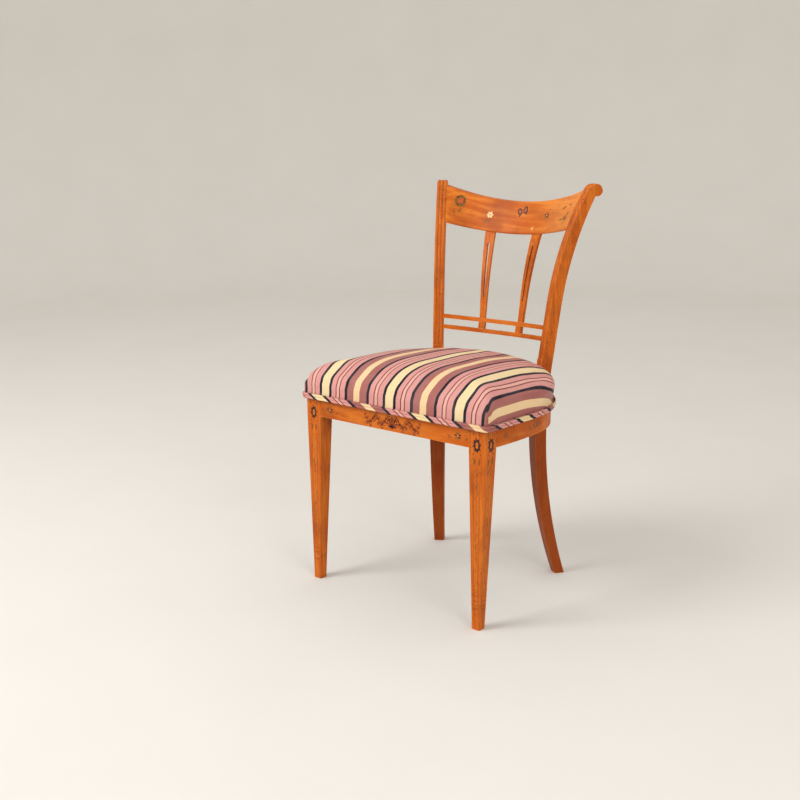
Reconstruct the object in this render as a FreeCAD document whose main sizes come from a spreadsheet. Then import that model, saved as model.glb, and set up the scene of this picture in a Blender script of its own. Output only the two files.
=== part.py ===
import FreeCAD
import Part
import Sketcher
import math
import os
from FreeCAD import Placement, Rotation, Vector

# Side chair with a horseshoe seat, sabre back legs, a concave crest rail and an upholstered seat.
# Millimetres, +Z up, floor at zero, the sitter faces -Y. The back is laid out on circles about one
# upright line, the back centre: posts, splats, cross rails and crest rail all stand radially to it.

SIZES = {
    # Whole chair
    "overall_height": 848.5,
    "width_over_legs": 473.0,
    "side_bow": 4.0,
    "widest_setback": 108.0,
    "centre_setback": 112.0,
    # Front legs, tapered on the back and on both sides
    "leg_top_width": 40.0,
    "leg_top_depth": 36.0,
    "leg_foot_size": 18.5,
    "leg_edge_round": 1.2,
    "cuff_height": 51.0,
    "cuff_groove_width": 1.8,
    "cuff_groove_depth": 0.7,
    # Seat rails
    "rail_bottom": 367.5,
    "rail_height": 58.0,
    "rail_thickness": 20.0,
    "rail_back_reach": 24.5,
    "front_rail_setback": 1.0,
    # Rear posts: sabre leg, leaning stile and scroll in one piece
    "post_turn": 33.1,
    "post_width": 37.0,
    "post_thickness": 26.0,
    "post_edge_round": 0.8,
    "post_reach": 2.7,
    "waist_height": 340.0,
    "foot_sweep": 57.3,
    "foot_thickness": 21.5,
    "foot_width": 23.0,
    "lean_start_height": 430.0,
    "stile_lean_angle": 8.2,
    "stile_width": 22.5,
    "stile_base_height": 452.0,
    "bow_start_share": 0.4062,
    "stile_bow_radius": 715.0,
    "neck_thickness": 22.5,
    "shoulder_radius": 20.0,
    "scroll_reach": 34.5,
    "nose_radius": 13.0,
    "reed_start_height": 484.0,
    "reed_depth": 2.0,
    # Crest rail
    "crest_thickness": 18.0,
    "crest_setback": 2.0,
    "crest_drop_share": 0.1052,
    "crest_top_rise": 30.5,
    "crest_height_share": 0.1655,
    "crest_bottom_rise": 25.5,
    "crest_span_inset": 56.5,
    "crest_edge_round": 2.5,
    # Splats
    "splat_turn": 11.2,
    "splat_thickness": 7.5,
    "splat_setback": 5.0,
    "splat_bottom_width": 12.4,
    "splat_top_width": 24.4,
    "splat_flare": 1.2,
    "slot_start_share": 0.2465,
    "slot_end_share": 0.8924,
    "slot_bottom_width": 3.6,
    "slot_top_width": 6.0,
    # Cross rails and the blocks between them
    "cross_rail_height": 9.4,
    "cross_rail_thickness": 11.0,
    "cross_rail_setback": 1.0,
    "cross_rail_tilt": 9.5,
    "cross_rail_share": 0.2116,
    "cross_rail_gap": 14.4,
    "spacer_turn": 11.0,
    "spacer_width": 14.5,
    "spacer_depth": 9.5,
    "spacer_setback": 0.5,
    # Joinery
    "tenon_thickness": 8.0,
    "tenon_edge": 8.0,
    "tenon_clearance": 0.15,
    "tenon_end_gap": 1.0,
    "front_tenon_length": 20.0,
    "side_tenon_length": 22.0,
    "rear_tenon_length": 12.0,
    "rear_tenon_inset": 1.5,
    "crest_tenon_length": 9.0,
    "crest_tenon_height": 36.0,
    "crest_tenon_thickness": 7.0,
    "cross_tenon_length": 8.0,
    "cross_tenon_thickness": 7.0,
    "cross_tenon_height": 5.0,
    "splat_tenon_thickness": 5.0,
    "splat_tenon_width": 9.0,
    "splat_tenon_top": 12.0,
    "splat_tenon_bottom": 5.0,
    # Corner blocks and their screws
    "block_height": 30.0,
    "block_leg": 62.0,
    "block_cut": 14.0,
    "glue_block_leg": 34.0,
    "screw_length": 38.0,
    "screw_radius": 2.1,
    "screw_head_radius": 4.4,
    "screw_head_height": 2.8,
    "screw_tip_length": 6.0,
    "screw_grip": 12.0,
    "screw_clearance": 0.15,
    # Webbing, burlap and dust cover
    "web_width": 50.0,
    "web_thickness": 1.5,
    "web_spacing": 84.0,
    "web_inset": 6.0,
    "burlap_thickness": 1.0,
    "dust_cover_thickness": 0.8,
    "dust_cover_inset": 5.0,
    # Seat pad, cover and welt
    "cover_drop": 22.0,
    "cover_thickness": 1.6,
    "cover_overhang": 3.0,
    "cover_bulge": 4.6,
    "edge_height": 455.0,
    "crown_height": 491.0,
    "crown_inset": 150.0,
    "crown_front_inset": 90.0,
    "crown_corner_radius": 45.0,
    "seat_corner_radius": 4.0,
    "pad_clearance": 0.3,
    "post_clearance": 0.8,
    "welt_cord_radius": 3.1,
    "welt_waist": 1.2,
    "welt_rise": 1.0,
    # One overrun serves every cut
    "overrun": 5.0,
}

# Sizes that follow from those above: the seat and back keep to the width, the back to the height
FOLLOWING = {
    "widest_half_width": "=width_over_legs / 2 + side_bow",
    "rail_back_radius": "=width_over_legs / 2 + rail_back_reach",
    "waist_radius": "=width_over_legs / 2 + post_reach",
    "crest_half_span": "=width_over_legs / 2 - crest_span_inset",
    "stile_bow_height": "=lean_start_height + bow_start_share * (overall_height - lean_start_height)",
    "back_height": "=overall_height - rail_bottom - rail_height",
    "crest_top_middle": "=overall_height - crest_drop_share * back_height",
    "crest_bottom_middle": "=crest_top_middle - crest_height_share * back_height",
    "lower_cross_rail_bottom": "=overall_height - (1 - cross_rail_share) * back_height",
    "cross_rails_top": "=lower_cross_rail_bottom + 2 * cross_rail_height + cross_rail_gap",
    "slot_bottom": "=cross_rails_top + slot_start_share * (crest_bottom_middle - cross_rails_top)",
    "slot_top": "=cross_rails_top + slot_end_share * (crest_bottom_middle - cross_rails_top)",
}

# Sections of the upholstered seat: up its side, then over its crown
SIDE_STEPS = 4
CROWN_STEPS = 6
LOFT_DEGREE = 3

doc = FreeCAD.newDocument("side_chair")
sheet = doc.addObject("Spreadsheet::Sheet", "sizes")
for line, (name, size) in enumerate([*SIZES.items(), *FOLLOWING.items()], start=1):
    sheet.set(f"A{line}", name)
    sheet.set(f"B{line}", str(size))
    sheet.setAlias(f"B{line}", name)
doc.recompute()


def val(name):
    return float(sheet.get(name))


def arc_radius(rise, run):
    """Radius of an arc that leaves a straight line and rises by rise over run."""
    return (rise * rise + run * run) / (2 * rise)


OVERRUN = val("overrun")
TURN = math.radians(val("post_turn"))
LEAN = math.radians(val("stile_lean_angle"))
RAIL_TOP = val("rail_bottom") + val("rail_height")
LEG_OUTER = val("width_over_legs") / 2


# Post geometry in the upright plane through the back centre: radius from the centre, height.

waist = Vector(val("waist_radius"), 0, val("waist_height"))
lean_radius = (val("lean_start_height") - waist.z) / math.sin(LEAN)
lean_start = waist + Vector(lean_radius * (1 - math.cos(LEAN)), 0, lean_radius * math.sin(LEAN))
bow_rise = val("stile_bow_height") - lean_start.z
bow_start = lean_start + Vector(bow_rise * math.tan(LEAN), 0, bow_rise)
bow_radius = val("stile_bow_radius")
bow_centre = bow_start + Vector(bow_radius * math.cos(LEAN), 0, -bow_radius * math.sin(LEAN))
shoulder_share = val("shoulder_radius") / bow_radius
shoulder_height = (
    val("overall_height") - val("shoulder_radius") - shoulder_share * bow_centre.z
) / (1 - shoulder_share)
shoulder_angle = math.asin((shoulder_height - bow_centre.z) / bow_radius)


def on_bow(radius, angle):
    """Point on a circle about the centre of the stile's bow; the angle is the slope from upright."""
    return bow_centre + Vector(-radius * math.cos(angle), 0, radius * math.sin(angle))


shoulder = on_bow(bow_radius, shoulder_angle)
shoulder_centre = on_bow(bow_radius - val("shoulder_radius"), shoulder_angle)
nose = Vector(
    shoulder.x + val("scroll_reach") - val("nose_radius"),
    0,
    val("overall_height") - val("nose_radius"),
)


def crest_back_depth():
    """How far the rounded back edge of the crest rail's top stands behind the back centre, at its middle."""
    radius = bow_radius - val("crest_setback") - val("crest_thickness")
    slope = math.asin((val("crest_top_middle") - bow_centre.z) / radius)
    lost = math.tan(slope) + 1 / math.cos(slope) - 1
    return on_bow(radius, slope).x - val("crest_edge_round") * lost


scroll_depth = (shoulder.x + val("scroll_reach")) * math.cos(TURN) + val("stile_width") / 2 * math.sin(TURN)
BACK_DEPTH = max(scroll_depth, crest_back_depth())
WELT_PROUD = val("cover_overhang") + val("pad_clearance") + 2 * val("welt_cord_radius")
FRONT_Y = -(val("centre_setback") + BACK_DEPTH - WELT_PROUD) / 2
CENTRE_Y = FRONT_Y + val("centre_setback")


def front_radius(height):
    """Distance of the stile's front face from the back centre at a height above the seat."""
    if height < bow_start.z:
        return lean_start.x + (height - lean_start.z) * math.tan(LEAN)
    angle = math.asin((height - bow_centre.z) / bow_radius)
    return on_bow(bow_radius, angle).x


def front_slope(height):
    """Slope of the stile's front face from upright, in radians."""
    if height < bow_start.z:
        return LEAN
    return math.asin((height - bow_centre.z) / bow_radius)


def radial_frame(turn):
    """Frame at the back centre whose X axis points out to the back, turned towards the sitter's side."""
    return Placement(Vector(0, CENTRE_Y, 0), Rotation(Vector(0, 0, 1), 90 - turn))


RIGHT_POST = radial_frame(val("post_turn"))
LEFT_POST = radial_frame(-val("post_turn"))


# Helpers for bodies, sketches and booleans

def new_body(label, place=Placement()):
    body = doc.addObject("PartDesign::Body", label)
    body.Label = label
    body.Placement = place
    return body


def sketch_on(body, role, name, height=None):
    sketch = body.newObject("Sketcher::SketchObject", name)
    plane = [f for f in body.Origin.OriginFeatures if f.Role == role][0]
    sketch.AttachmentSupport = [(plane, "")]
    sketch.MapMode = "FlatFace"
    if height:
        sketch.setExpression("AttachmentOffset.Base.z", height)
    return sketch


def line(a, b):
    return Part.LineSegment(a, b)


def arc3(a, b, c):
    return Part.Arc(a, b, c)


def outline(sketch, points):
    """Closed outline of straight lines through the points."""
    for a, b in zip(points, points[1:] + points[:1]):
        sketch.addGeometry(line(a, b))


def rectangle(sketch, width, depth):
    """Rectangle on the sketch's X axis, centred on its Y axis, with both sizes from the sheet."""
    a, b = Vector(-1, 0, 0), Vector(1, 0, 0)
    c, d = Vector(1, 1, 0), Vector(-1, 1, 0)
    for p, q in ((a, b), (b, c), (c, d), (d, a)):
        sketch.addGeometry(line(p, q))
    for first in range(4):
        sketch.addConstraint(Sketcher.Constraint("Coincident", first, 2, (first + 1) % 4, 1))
    sketch.addConstraint(Sketcher.Constraint("Vertical", 1))
    sketch.addConstraint(Sketcher.Constraint("Vertical", 3))
    sketch.addConstraint(Sketcher.Constraint("Horizontal", 2))
    sketch.addConstraint(Sketcher.Constraint("Symmetric", 0, 1, 0, 2, -2))
    sketch.addConstraint(Sketcher.Constraint("PointOnObject", 0, 1, -1))
    across = sketch.addConstraint(Sketcher.Constraint("DistanceX", 0, 1, 0, 2, b.x - a.x))
    along = sketch.addConstraint(Sketcher.Constraint("DistanceY", 1, 1, 1, 2, c.y - b.y))
    sketch.renameConstraint(across, "across")
    sketch.renameConstraint(along, "along")
    sketch.setExpression("Constraints.across", width)
    sketch.setExpression("Constraints.along", depth)


def pad(body, sketch, length, both_ways=False):
    feature = body.newObject("PartDesign::Pad", sketch.Name + "_pad")
    feature.Profile = sketch
    feature.setExpression("Length", length)
    feature.Midplane = both_ways
    return feature


def pocket(body, sketch):
    """Cut through everything, both ways from the sketch."""
    feature = body.newObject("PartDesign::Pocket", sketch.Name + "_pocket")
    feature.Profile = sketch
    feature.Type = "ThroughAll"
    feature.Midplane = True
    return feature


def revolve(body, sketch, angle):
    """Turn a sketch about the body's upright axis, half the angle each way."""
    feature = body.newObject("PartDesign::Revolution", sketch.Name + "_turned")
    feature.Profile = sketch
    axis = [f for f in body.Origin.OriginFeatures if f.Role == "Z_Axis"][0]
    feature.ReferenceAxis = (axis, [""])
    feature.Midplane = True
    feature.setExpression("Angle", angle)
    return feature


def block(name, frame, centre, sizes, tilt=0.0):
    """Box centred on a point of a frame, its three sizes given as expressions of the sheet."""
    box = doc.addObject("Part::Box", name)
    box.setExpression("Length", sizes[0])
    box.setExpression("Width", sizes[1])
    box.setExpression("Height", sizes[2])
    doc.recompute([box])
    half = Vector(-box.Length.Value / 2, -box.Width.Value / 2, -box.Height.Value / 2)
    lean = Placement(centre, Rotation(Vector(0, 1, 0), math.degrees(tilt)))
    box.Placement = frame * lean * Placement(half, Rotation())
    return box


def cut(label, base, tools):
    tool = tools[0]
    if len(tools) > 1:
        tool = doc.addObject("Part::MultiFuse", label + "_tools")
        tool.Shapes = tools
    result = doc.addObject("Part::Cut", label)
    result.Base = base
    result.Tool = tool
    return result


def fuse(label, pieces):
    result = doc.addObject("Part::MultiFuse", label)
    result.Shapes = pieces
    return result


def common(label, base, tool):
    result = doc.addObject("Part::Common", label)
    result.Base = base
    result.Tool = tool
    return result


def mirror(label, source):
    result = doc.addObject("Part::Mirroring", label)
    result.Source = source
    result.Normal = Vector(1, 0, 0)
    return result


def solid_feature(label, shape):
    feature = doc.addObject("Part::Feature", label)
    feature.Shape = shape
    return feature


def tenon_pair(name, frame, centre, thickness, length, height, end_gap="0", tilt=0.0):
    """Tenon and the mortise for it: the same box, the mortise larger all round by the clearance."""
    tenon = block(name + "_tenon", frame, centre, (thickness, length, height), tilt)
    room = " + 2 * sizes.tenon_clearance"
    longer = f"{length} + 2 * {end_gap}"
    mortise = block(name + "_mortise", frame, centre, (thickness + room, longer, height + room), tilt)
    return tenon, mortise


nodes = []


def keep(feature):
    nodes.append(feature)
    return feature


# Plan of the seat: front line, bowed sides, rounded rear corners and a back arc about the back centre

def side_arcs(near, reach):
    """Centres and radii of a side: a bow through the near point, then the rear corner arc."""
    widest = Vector(val("widest_half_width"), FRONT_Y + val("widest_setback"), 0)
    bow = arc_radius(widest.x - near.x, widest.y - near.y)
    bow_at = widest - Vector(bow, 0, 0)
    centre = Vector(0, CENTRE_Y, 0)
    span = reach - centre
    out = Vector(span).normalize()
    chord = reach - bow_at
    corner = (bow * bow - chord.dot(chord)) / (2 * (bow - chord.dot(out)))
    corner_at = reach - out * corner
    return bow_at, bow, corner_at, corner, span.Length


post_edge = RIGHT_POST.multVec(Vector(val("rail_back_radius"), -val("post_width") / 2, 0))
rail_start = Vector(LEG_OUTER, FRONT_Y + val("leg_top_depth"), 0)
cover_start = Vector(LEG_OUTER + val("front_rail_setback"), FRONT_Y, 0)


def on_circle(centre, radius, angle, height):
    return Vector(centre.x + radius * math.cos(angle), centre.y + radius * math.sin(angle), height)


def arc_between(centre, radius, start, end, height):
    mid = (start + end) / 2
    points = [on_circle(centre, radius, angle, height) for angle in (start, mid, end)]
    return Part.Arc(*points).toShape()


def seat_edges(near, offset, corner_radius, height, front_offset=None):
    """Seat plan as edges in one direction: front line, right side, back arc, left side."""
    bow_at, bow, corner_at, corner, back = side_arcs(near, post_edge)
    front = FRONT_Y - (offset if front_offset is None else front_offset)
    turn_y = front + corner_radius
    reach = bow + offset - corner_radius
    turn_at = Vector(bow_at.x + math.sqrt(reach * reach - (turn_y - bow_at.y) ** 2), turn_y, 0)
    bow_from = math.atan2(turn_at.y - bow_at.y, turn_at.x - bow_at.x)
    bow_to = math.atan2(corner_at.y - bow_at.y, corner_at.x - bow_at.x)
    back_from = math.atan2(post_edge.y - CENTRE_Y, post_edge.x)
    arcs = [
        (turn_at, corner_radius, -math.pi / 2, bow_from),
        (bow_at, bow + offset, bow_from, bow_to),
        (corner_at, corner + offset, bow_to, back_from),
    ]
    tip = Vector(turn_at.x, front, height)
    front_line = Part.LineSegment(Vector(-tip.x, front, height), tip).toShape()
    right = [arc_between(centre, radius, start, end, height) for centre, radius, start, end in arcs]
    centre = Vector(0, CENTRE_Y, 0)
    back_arc = arc_between(centre, back + offset, back_from, math.pi - back_from, height)
    left = [
        arc_between(Vector(-centre.x, centre.y, 0), radius, math.pi - end, math.pi - start, height)
        for centre, radius, start, end in reversed(arcs)
    ]
    return front_line, right, back_arc, left


def seat_wire(near, offset, corner_radius, height, front_offset=None):
    front_line, right, back_arc, left = seat_edges(near, offset, corner_radius, height, front_offset)
    return Part.Wire([front_line] + right + [back_arc] + left)


def seat_slab(near, offset, low, thickness):
    """Flat slab with the seat's outline."""
    wire = seat_wire(near, offset, val("seat_corner_radius"), low)
    return Part.Face(wire).extrude(Vector(0, 0, thickness))


# Front legs

def make_front_leg():
    middle = Vector(LEG_OUTER - val("leg_top_width") / 2, FRONT_Y, 0)
    body = new_body("front_leg_blank", Placement(middle, Rotation()))
    foot = sketch_on(body, "XY_Plane", "leg_foot")
    rectangle(foot, "sizes.leg_foot_size", "sizes.leg_foot_size")
    knee = sketch_on(body, "XY_Plane", "leg_knee", "sizes.rail_bottom")
    rectangle(knee, "sizes.leg_top_width", "sizes.leg_top_depth")
    doc.recompute()
    taper = body.newObject("PartDesign::AdditiveLoft", "leg_taper")
    taper.Profile = foot
    taper.Sections = [knee]
    top = sketch_on(body, "XY_Plane", "leg_block", "sizes.rail_bottom")
    rectangle(top, "sizes.leg_top_width", "sizes.leg_top_depth")
    pad(body, top, "sizes.rail_height")
    doc.recompute()
    taper_share = val("cuff_height") / val("rail_bottom")
    cuff_width = val("leg_foot_size") + taper_share * (val("leg_top_width") - val("leg_foot_size"))
    cuff_depth = val("leg_foot_size") + taper_share * (val("leg_top_depth") - val("leg_foot_size"))
    sunk = val("cuff_groove_depth")
    outer = Part.makeBox(
        cuff_width + 2 * OVERRUN, cuff_depth + 2 * OVERRUN, val("cuff_groove_width"),
        Vector(-cuff_width / 2 - OVERRUN, -OVERRUN, val("cuff_height")))
    inner = Part.makeBox(
        cuff_width - 2 * sunk, cuff_depth - 2 * sunk, val("cuff_groove_width"),
        Vector(-cuff_width / 2 + sunk, sunk, val("cuff_height")))
    groove = solid_feature("leg_cuff_groove", outer.cut(inner))
    groove.Placement = body.Placement
    edges = [
        edge for edge in body.Shape.Edges
        if abs(edge.Vertexes[0].Z - edge.Vertexes[-1].Z) > val("rail_height") - OVERRUN
    ]
    rounded = solid_feature("front_leg_rounded", body.Shape.makeFillet(val("leg_edge_round"), edges))
    tools = [groove, front_mortise, side_mortise]
    return cut("front_leg_right", rounded, tools)


RAIL_MIDDLE = val("rail_bottom") + val("rail_height") / 2
TENON_HEIGHT = "sizes.rail_height - 2 * sizes.tenon_edge"
LEG_INNER = LEG_OUTER - val("leg_top_width")

front_tenon_right, front_mortise = tenon_pair(
    "front_rail",
    Placement(Vector(0, 0, 0), Rotation(Vector(0, 0, 1), 90)),
    Vector(FRONT_Y + val("front_rail_setback") + val("rail_thickness") / 2, -LEG_INNER, RAIL_MIDDLE),
    "sizes.tenon_thickness", "2 * sizes.front_tenon_length", TENON_HEIGHT, "sizes.tenon_end_gap")
side_tenon, side_mortise = tenon_pair(
    "side_rail",
    Placement(),
    Vector(LEG_OUTER - val("rail_thickness") / 2, rail_start.y, RAIL_MIDDLE),
    "sizes.tenon_thickness", "2 * sizes.side_tenon_length", TENON_HEIGHT, "sizes.tenon_end_gap")
front_leg_right = keep(make_front_leg())
front_leg_left = keep(mirror("front_leg_left", front_leg_right))


# Rear posts

def make_post_blank():
    body = new_body("rear_post_blank", RIGHT_POST)
    side = sketch_on(body, "XZ_Plane", "post_side")
    thickness = val("post_thickness")
    foot_front = Vector(waist.x + val("foot_sweep"), 0, 0)
    foot_back = foot_front + Vector(val("foot_thickness"), 0, 0)
    back_waist = waist + Vector(thickness, 0, 0)
    front_leg_arc = arc_radius(foot_front.x - waist.x, waist.z)
    back_leg_arc = arc_radius(foot_back.x - back_waist.x, waist.z)
    square = Vector(math.cos(LEAN), 0, -math.sin(LEAN)) * thickness
    back_lean = lean_start + square
    back_bow = bow_start + square
    bend = shoulder_angle - LEAN
    back_radius = bow_radius + (thickness * math.cos(bend) - val("neck_thickness")) / (1 - math.cos(bend))
    back_centre = back_bow + Vector(math.cos(LEAN), 0, -math.sin(LEAN)) * back_radius
    gap = nose - back_centre
    along = math.atan2(gap.z, -gap.x)
    reach = (back_radius ** 2 + gap.Length ** 2 - val("nose_radius") ** 2) / (2 * back_radius * gap.Length)
    neck_angle = along - math.acos(reach)

    def on_leg(radius, start, share):
        angle = share * math.asin(waist.z / radius)
        return start + Vector(radius * (1 - math.cos(angle)), 0, -radius * math.sin(angle))

    def on_lean(radius, share):
        angle = share * LEAN
        return Vector(waist.x + lean_radius - radius * math.cos(angle), 0, waist.z + radius * math.sin(angle))

    def on_back(angle):
        return back_centre + Vector(-back_radius * math.cos(angle), 0, back_radius * math.sin(angle))

    def on_nose(angle):
        return nose + Vector(math.sin(angle), 0, math.cos(angle)) * val("nose_radius")

    neck = on_back(neck_angle)
    neck_turn = math.atan2(neck.x - nose.x, neck.z - nose.z) % (2 * math.pi)
    shoulder_turn = math.pi / 2 - shoulder_angle

    def on_shoulder(share):
        angle = shoulder_angle + share * shoulder_turn
        return shoulder_centre + Vector(-math.cos(angle), 0, math.sin(angle)) * val("shoulder_radius")

    half = 0.5
    inner = lean_radius - thickness
    curves = [
        arc3(foot_front, on_leg(front_leg_arc, waist, half), waist),
        arc3(waist, on_lean(lean_radius, half), lean_start),
        line(lean_start, bow_start),
        arc3(bow_start, on_bow(bow_radius, (LEAN + shoulder_angle) / 2), shoulder),
        arc3(shoulder, on_shoulder(half), on_shoulder(1)),
        line(on_shoulder(1), on_nose(0)),
        arc3(on_nose(0), on_nose(neck_turn / 2), neck),
        arc3(neck, on_back((neck_angle + LEAN) / 2), back_bow),
        line(back_bow, back_lean),
        arc3(back_lean, on_lean(inner, half), back_waist),
        arc3(back_waist, on_leg(back_leg_arc, back_waist, half), foot_back),
        line(foot_back, foot_front),
    ]
    for curve in curves:
        curve.rotate(Placement(Vector(0, 0, 0), Rotation(Vector(1, 0, 0), -90)))
        side.addGeometry(curve)
    pad(body, side, "sizes.post_width + 2 * sizes.overrun", both_ways=True)
    doc.recompute()
    taper = sketch_on(body, "YZ_Plane", "post_front_view")
    wide = val("post_width") / 2
    narrow = val("stile_width") / 2
    far = wide + 2 * OVERRUN
    top = val("overall_height") + OVERRUN
    for way in (1, -1):
        points = [
            Vector(way * val("foot_width") / 2, 0, 0),
            Vector(way * wide, val("rail_bottom"), 0),
            Vector(way * wide, RAIL_TOP, 0),
            Vector(way * narrow, val("stile_base_height"), 0),
            Vector(way * narrow, top, 0),
            Vector(way * far, top, 0),
            Vector(way * far, -OVERRUN, 0),
            Vector(way * val("foot_width") / 2, -OVERRUN, 0),
        ]
        outline(taper, points)
    pocket(body, taper)
    doc.recompute()
    return body


def make_reed_cutter():
    """What is cut away in front of three rounded reeds, swept up the stile and over its scroll."""
    start_height = val("reed_start_height")
    start = Vector(front_radius(start_height), 0, start_height)
    mid_angle = (LEAN + shoulder_angle) / 2
    half_angle = (shoulder_angle + math.pi / 2) / 2
    over = shoulder_centre + Vector(-math.cos(half_angle), 0, math.sin(half_angle)) * val("shoulder_radius")
    crown = shoulder_centre + Vector(0, 0, val("shoulder_radius"))
    half_nose = math.pi / 4
    round_back = nose + Vector(math.sin(half_nose), 0, math.cos(half_nose)) * val("nose_radius")
    tip = nose + Vector(val("nose_radius"), 0, 0)
    path = Part.Wire([
        Part.LineSegment(start, bow_start).toShape(),
        Part.Arc(bow_start, on_bow(bow_radius, mid_angle), shoulder).toShape(),
        Part.Arc(shoulder, over, crown).toShape(),
        Part.LineSegment(crown, nose + Vector(0, 0, val("nose_radius"))).toShape(),
        Part.Arc(nose + Vector(0, 0, val("nose_radius")), round_back, tip).toShape(),
    ])
    depth = val("reed_depth")
    half_reed = val("stile_width") / 6
    out = Vector(-math.cos(LEAN), 0, math.sin(LEAN))
    edges = []
    for place in (-2, 0, 2):
        left = start + Vector(0, (place - 1) * half_reed, 0) - out * depth
        right = start + Vector(0, (place + 1) * half_reed, 0) - out * depth
        edges.append(Part.Arc(left, start + Vector(0, place * half_reed, 0), right).toShape())
    low = edges[0].Vertexes[0].Point
    high = edges[-1].Vertexes[-1].Point
    side = Vector(0, OVERRUN, 0)
    ahead = out * (depth + OVERRUN)
    corners = [high, high + side, high + side + ahead, low - side + ahead, low - side, low]
    for a, b in zip(corners, corners[1:]):
        edges.append(Part.LineSegment(a, b).toShape())
    section = Part.Wire(Part.__sortEdges__(edges))
    cutter = path.makePipeShell([section], True, False)
    return solid_feature("reed_cutter", Part.Solid(cutter) if cutter.ShapeType == "Shell" else cutter)


def make_rear_post():
    blank = make_post_blank()
    reeds = make_reed_cutter()
    reeds.Placement = RIGHT_POST
    long_edges = []
    for edge in blank.Shape.Edges:
        box = edge.BoundBox
        if box.ZLength > 2 * OVERRUN and box.ZMax < RAIL_MIDDLE and len(edge.Vertexes) == 2:
            long_edges.append(edge)
    rounded = solid_feature(
        "rear_post_rounded", blank.Shape.makeFillet(val("post_edge_round"), long_edges))
    return cut("rear_post_right", rounded, [reeds] + post_mortises)


rear_middle = val("rail_back_radius") - val("rear_tenon_inset") - val("tenon_thickness") / 2
post_mortises = []
rear_tenons = {}
for name, way in (("side", -1), ("back", 1)):
    tenon, mortise = tenon_pair(
        name + "_rail_rear", RIGHT_POST,
        Vector(rear_middle, way * val("post_width") / 2, RAIL_MIDDLE),
        "sizes.tenon_thickness", "2 * sizes.rear_tenon_length", TENON_HEIGHT, "sizes.tenon_end_gap")
    rear_tenons[name] = tenon
    post_mortises.append(mortise)

crest_level = (val("crest_top_middle") + val("crest_bottom_middle")) / 2 + (
    val("crest_top_rise") + val("crest_bottom_rise")) / 2
crest_middle = val("crest_setback") + val("crest_thickness") / 2
crest_slope = front_slope(crest_level)
crest_at = Vector(
    front_radius(crest_level) + crest_middle * math.cos(crest_slope), val("stile_width") / 2,
    crest_level - crest_middle * math.sin(crest_slope))
crest_tenon, mortise = tenon_pair(
    "crest_rail", RIGHT_POST, crest_at,
    "sizes.crest_tenon_thickness", "2 * sizes.crest_tenon_length", "sizes.crest_tenon_height",
    "sizes.tenon_end_gap", crest_slope)
post_mortises.append(mortise)

# The cross rails are arcs about one axis that leans with the back. Heights in their frame start at
# the underside of the lower one.
CROSS_TILT = math.radians(val("cross_rail_tilt"))
CROSS_RADIUS = front_radius(val("lower_cross_rail_bottom")) + val("cross_rail_setback")
CROSS_MIDDLE = CROSS_RADIUS + val("cross_rail_thickness") / 2
UPPER_RAIL = val("cross_rail_height") + val("cross_rail_gap")
SPLAT_LOW = UPPER_RAIL + val("cross_rail_height")
CROSS_FRAME = radial_frame(0) * Placement(
    Vector(CROSS_RADIUS * (1 - math.cos(CROSS_TILT)), 0,
           val("lower_cross_rail_bottom") + CROSS_RADIUS * math.sin(CROSS_TILT)),
    Rotation(Vector(0, 1, 0), val("cross_rail_tilt")))
cross_rails = (("cross_rail_lower", 0.0), ("cross_rail_upper", UPPER_RAIL))
cross_tenons = {}


def cross_point(turn, level):
    """Point on the middle line of the cross rails' ring, at a turn to the right and a level in it."""
    return CROSS_FRAME.multVec(Vector(
        CROSS_MIDDLE * math.cos(turn), -CROSS_MIDDLE * math.sin(turn), level))


end_turn = TURN - math.asin(val("stile_width") / 2 / CROSS_MIDDLE)
for name, bottom in cross_rails:
    at = RIGHT_POST.inverse().multVec(cross_point(end_turn, bottom + val("cross_rail_height") / 2))
    tenon, mortise = tenon_pair(
        name, RIGHT_POST, at, "sizes.cross_tenon_thickness",
        "2 * sizes.cross_tenon_length", "sizes.cross_tenon_height", "sizes.tenon_end_gap")
    cross_tenons[name] = tenon
    post_mortises.append(mortise)

rear_post_right = keep(make_rear_post())
rear_post_left = keep(mirror("rear_post_left", rear_post_right))


# What lies on the posts' side of a post's inner or outer face

def post_zone(name, frame, way, half_width):
    """Large box that starts at a post's side face and covers all that lies beyond it."""
    reach = 2 * val("overall_height")
    near = half_width if way > 0 else -half_width - reach
    box = Part.makeBox(reach, reach, 2 * reach, Vector(-reach / 2, near, -reach))
    zone = solid_feature(name, box)
    zone.Placement = frame
    return zone


stile_half = val("stile_width") / 2
post_half = val("post_width") / 2
beyond_stiles = [
    post_zone("beyond_right_stile", RIGHT_POST, -1, -stile_half),
    post_zone("beyond_left_stile", LEFT_POST, 1, -stile_half),
]
beyond_posts = [
    post_zone("beyond_right_post", RIGHT_POST, -1, -post_half),
    post_zone("beyond_left_post", LEFT_POST, 1, -post_half),
]
behind_post = post_zone("behind_right_post", RIGHT_POST, 1, -post_half)


# Seat rails

def make_front_rail():
    body = new_body("front_rail_blank", Placement(
        Vector(0, FRONT_Y + val("front_rail_setback"), val("rail_bottom")), Rotation()))
    plan = sketch_on(body, "XY_Plane", "front_rail_plan")
    rectangle(plan, "sizes.width_over_legs - 2 * sizes.leg_top_width", "sizes.rail_thickness")
    pad(body, plan, "sizes.rail_height")
    doc.recompute()
    left_tenon = mirror("front_rail_tenon_left", front_tenon_right)
    return body, [front_tenon_right, left_tenon]


def rail_ring():
    """The whole horseshoe of the rails before it is parted at the legs and posts."""
    outer = seat_wire(rail_start, 0, val("seat_corner_radius"), val("rail_bottom"))
    inner = seat_wire(rail_start, -val("rail_thickness"), val("seat_corner_radius"), val("rail_bottom"))
    up = Vector(0, 0, val("rail_height"))
    return Part.Face(outer).extrude(up).cut(Part.Face(inner).extrude(up))


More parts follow.
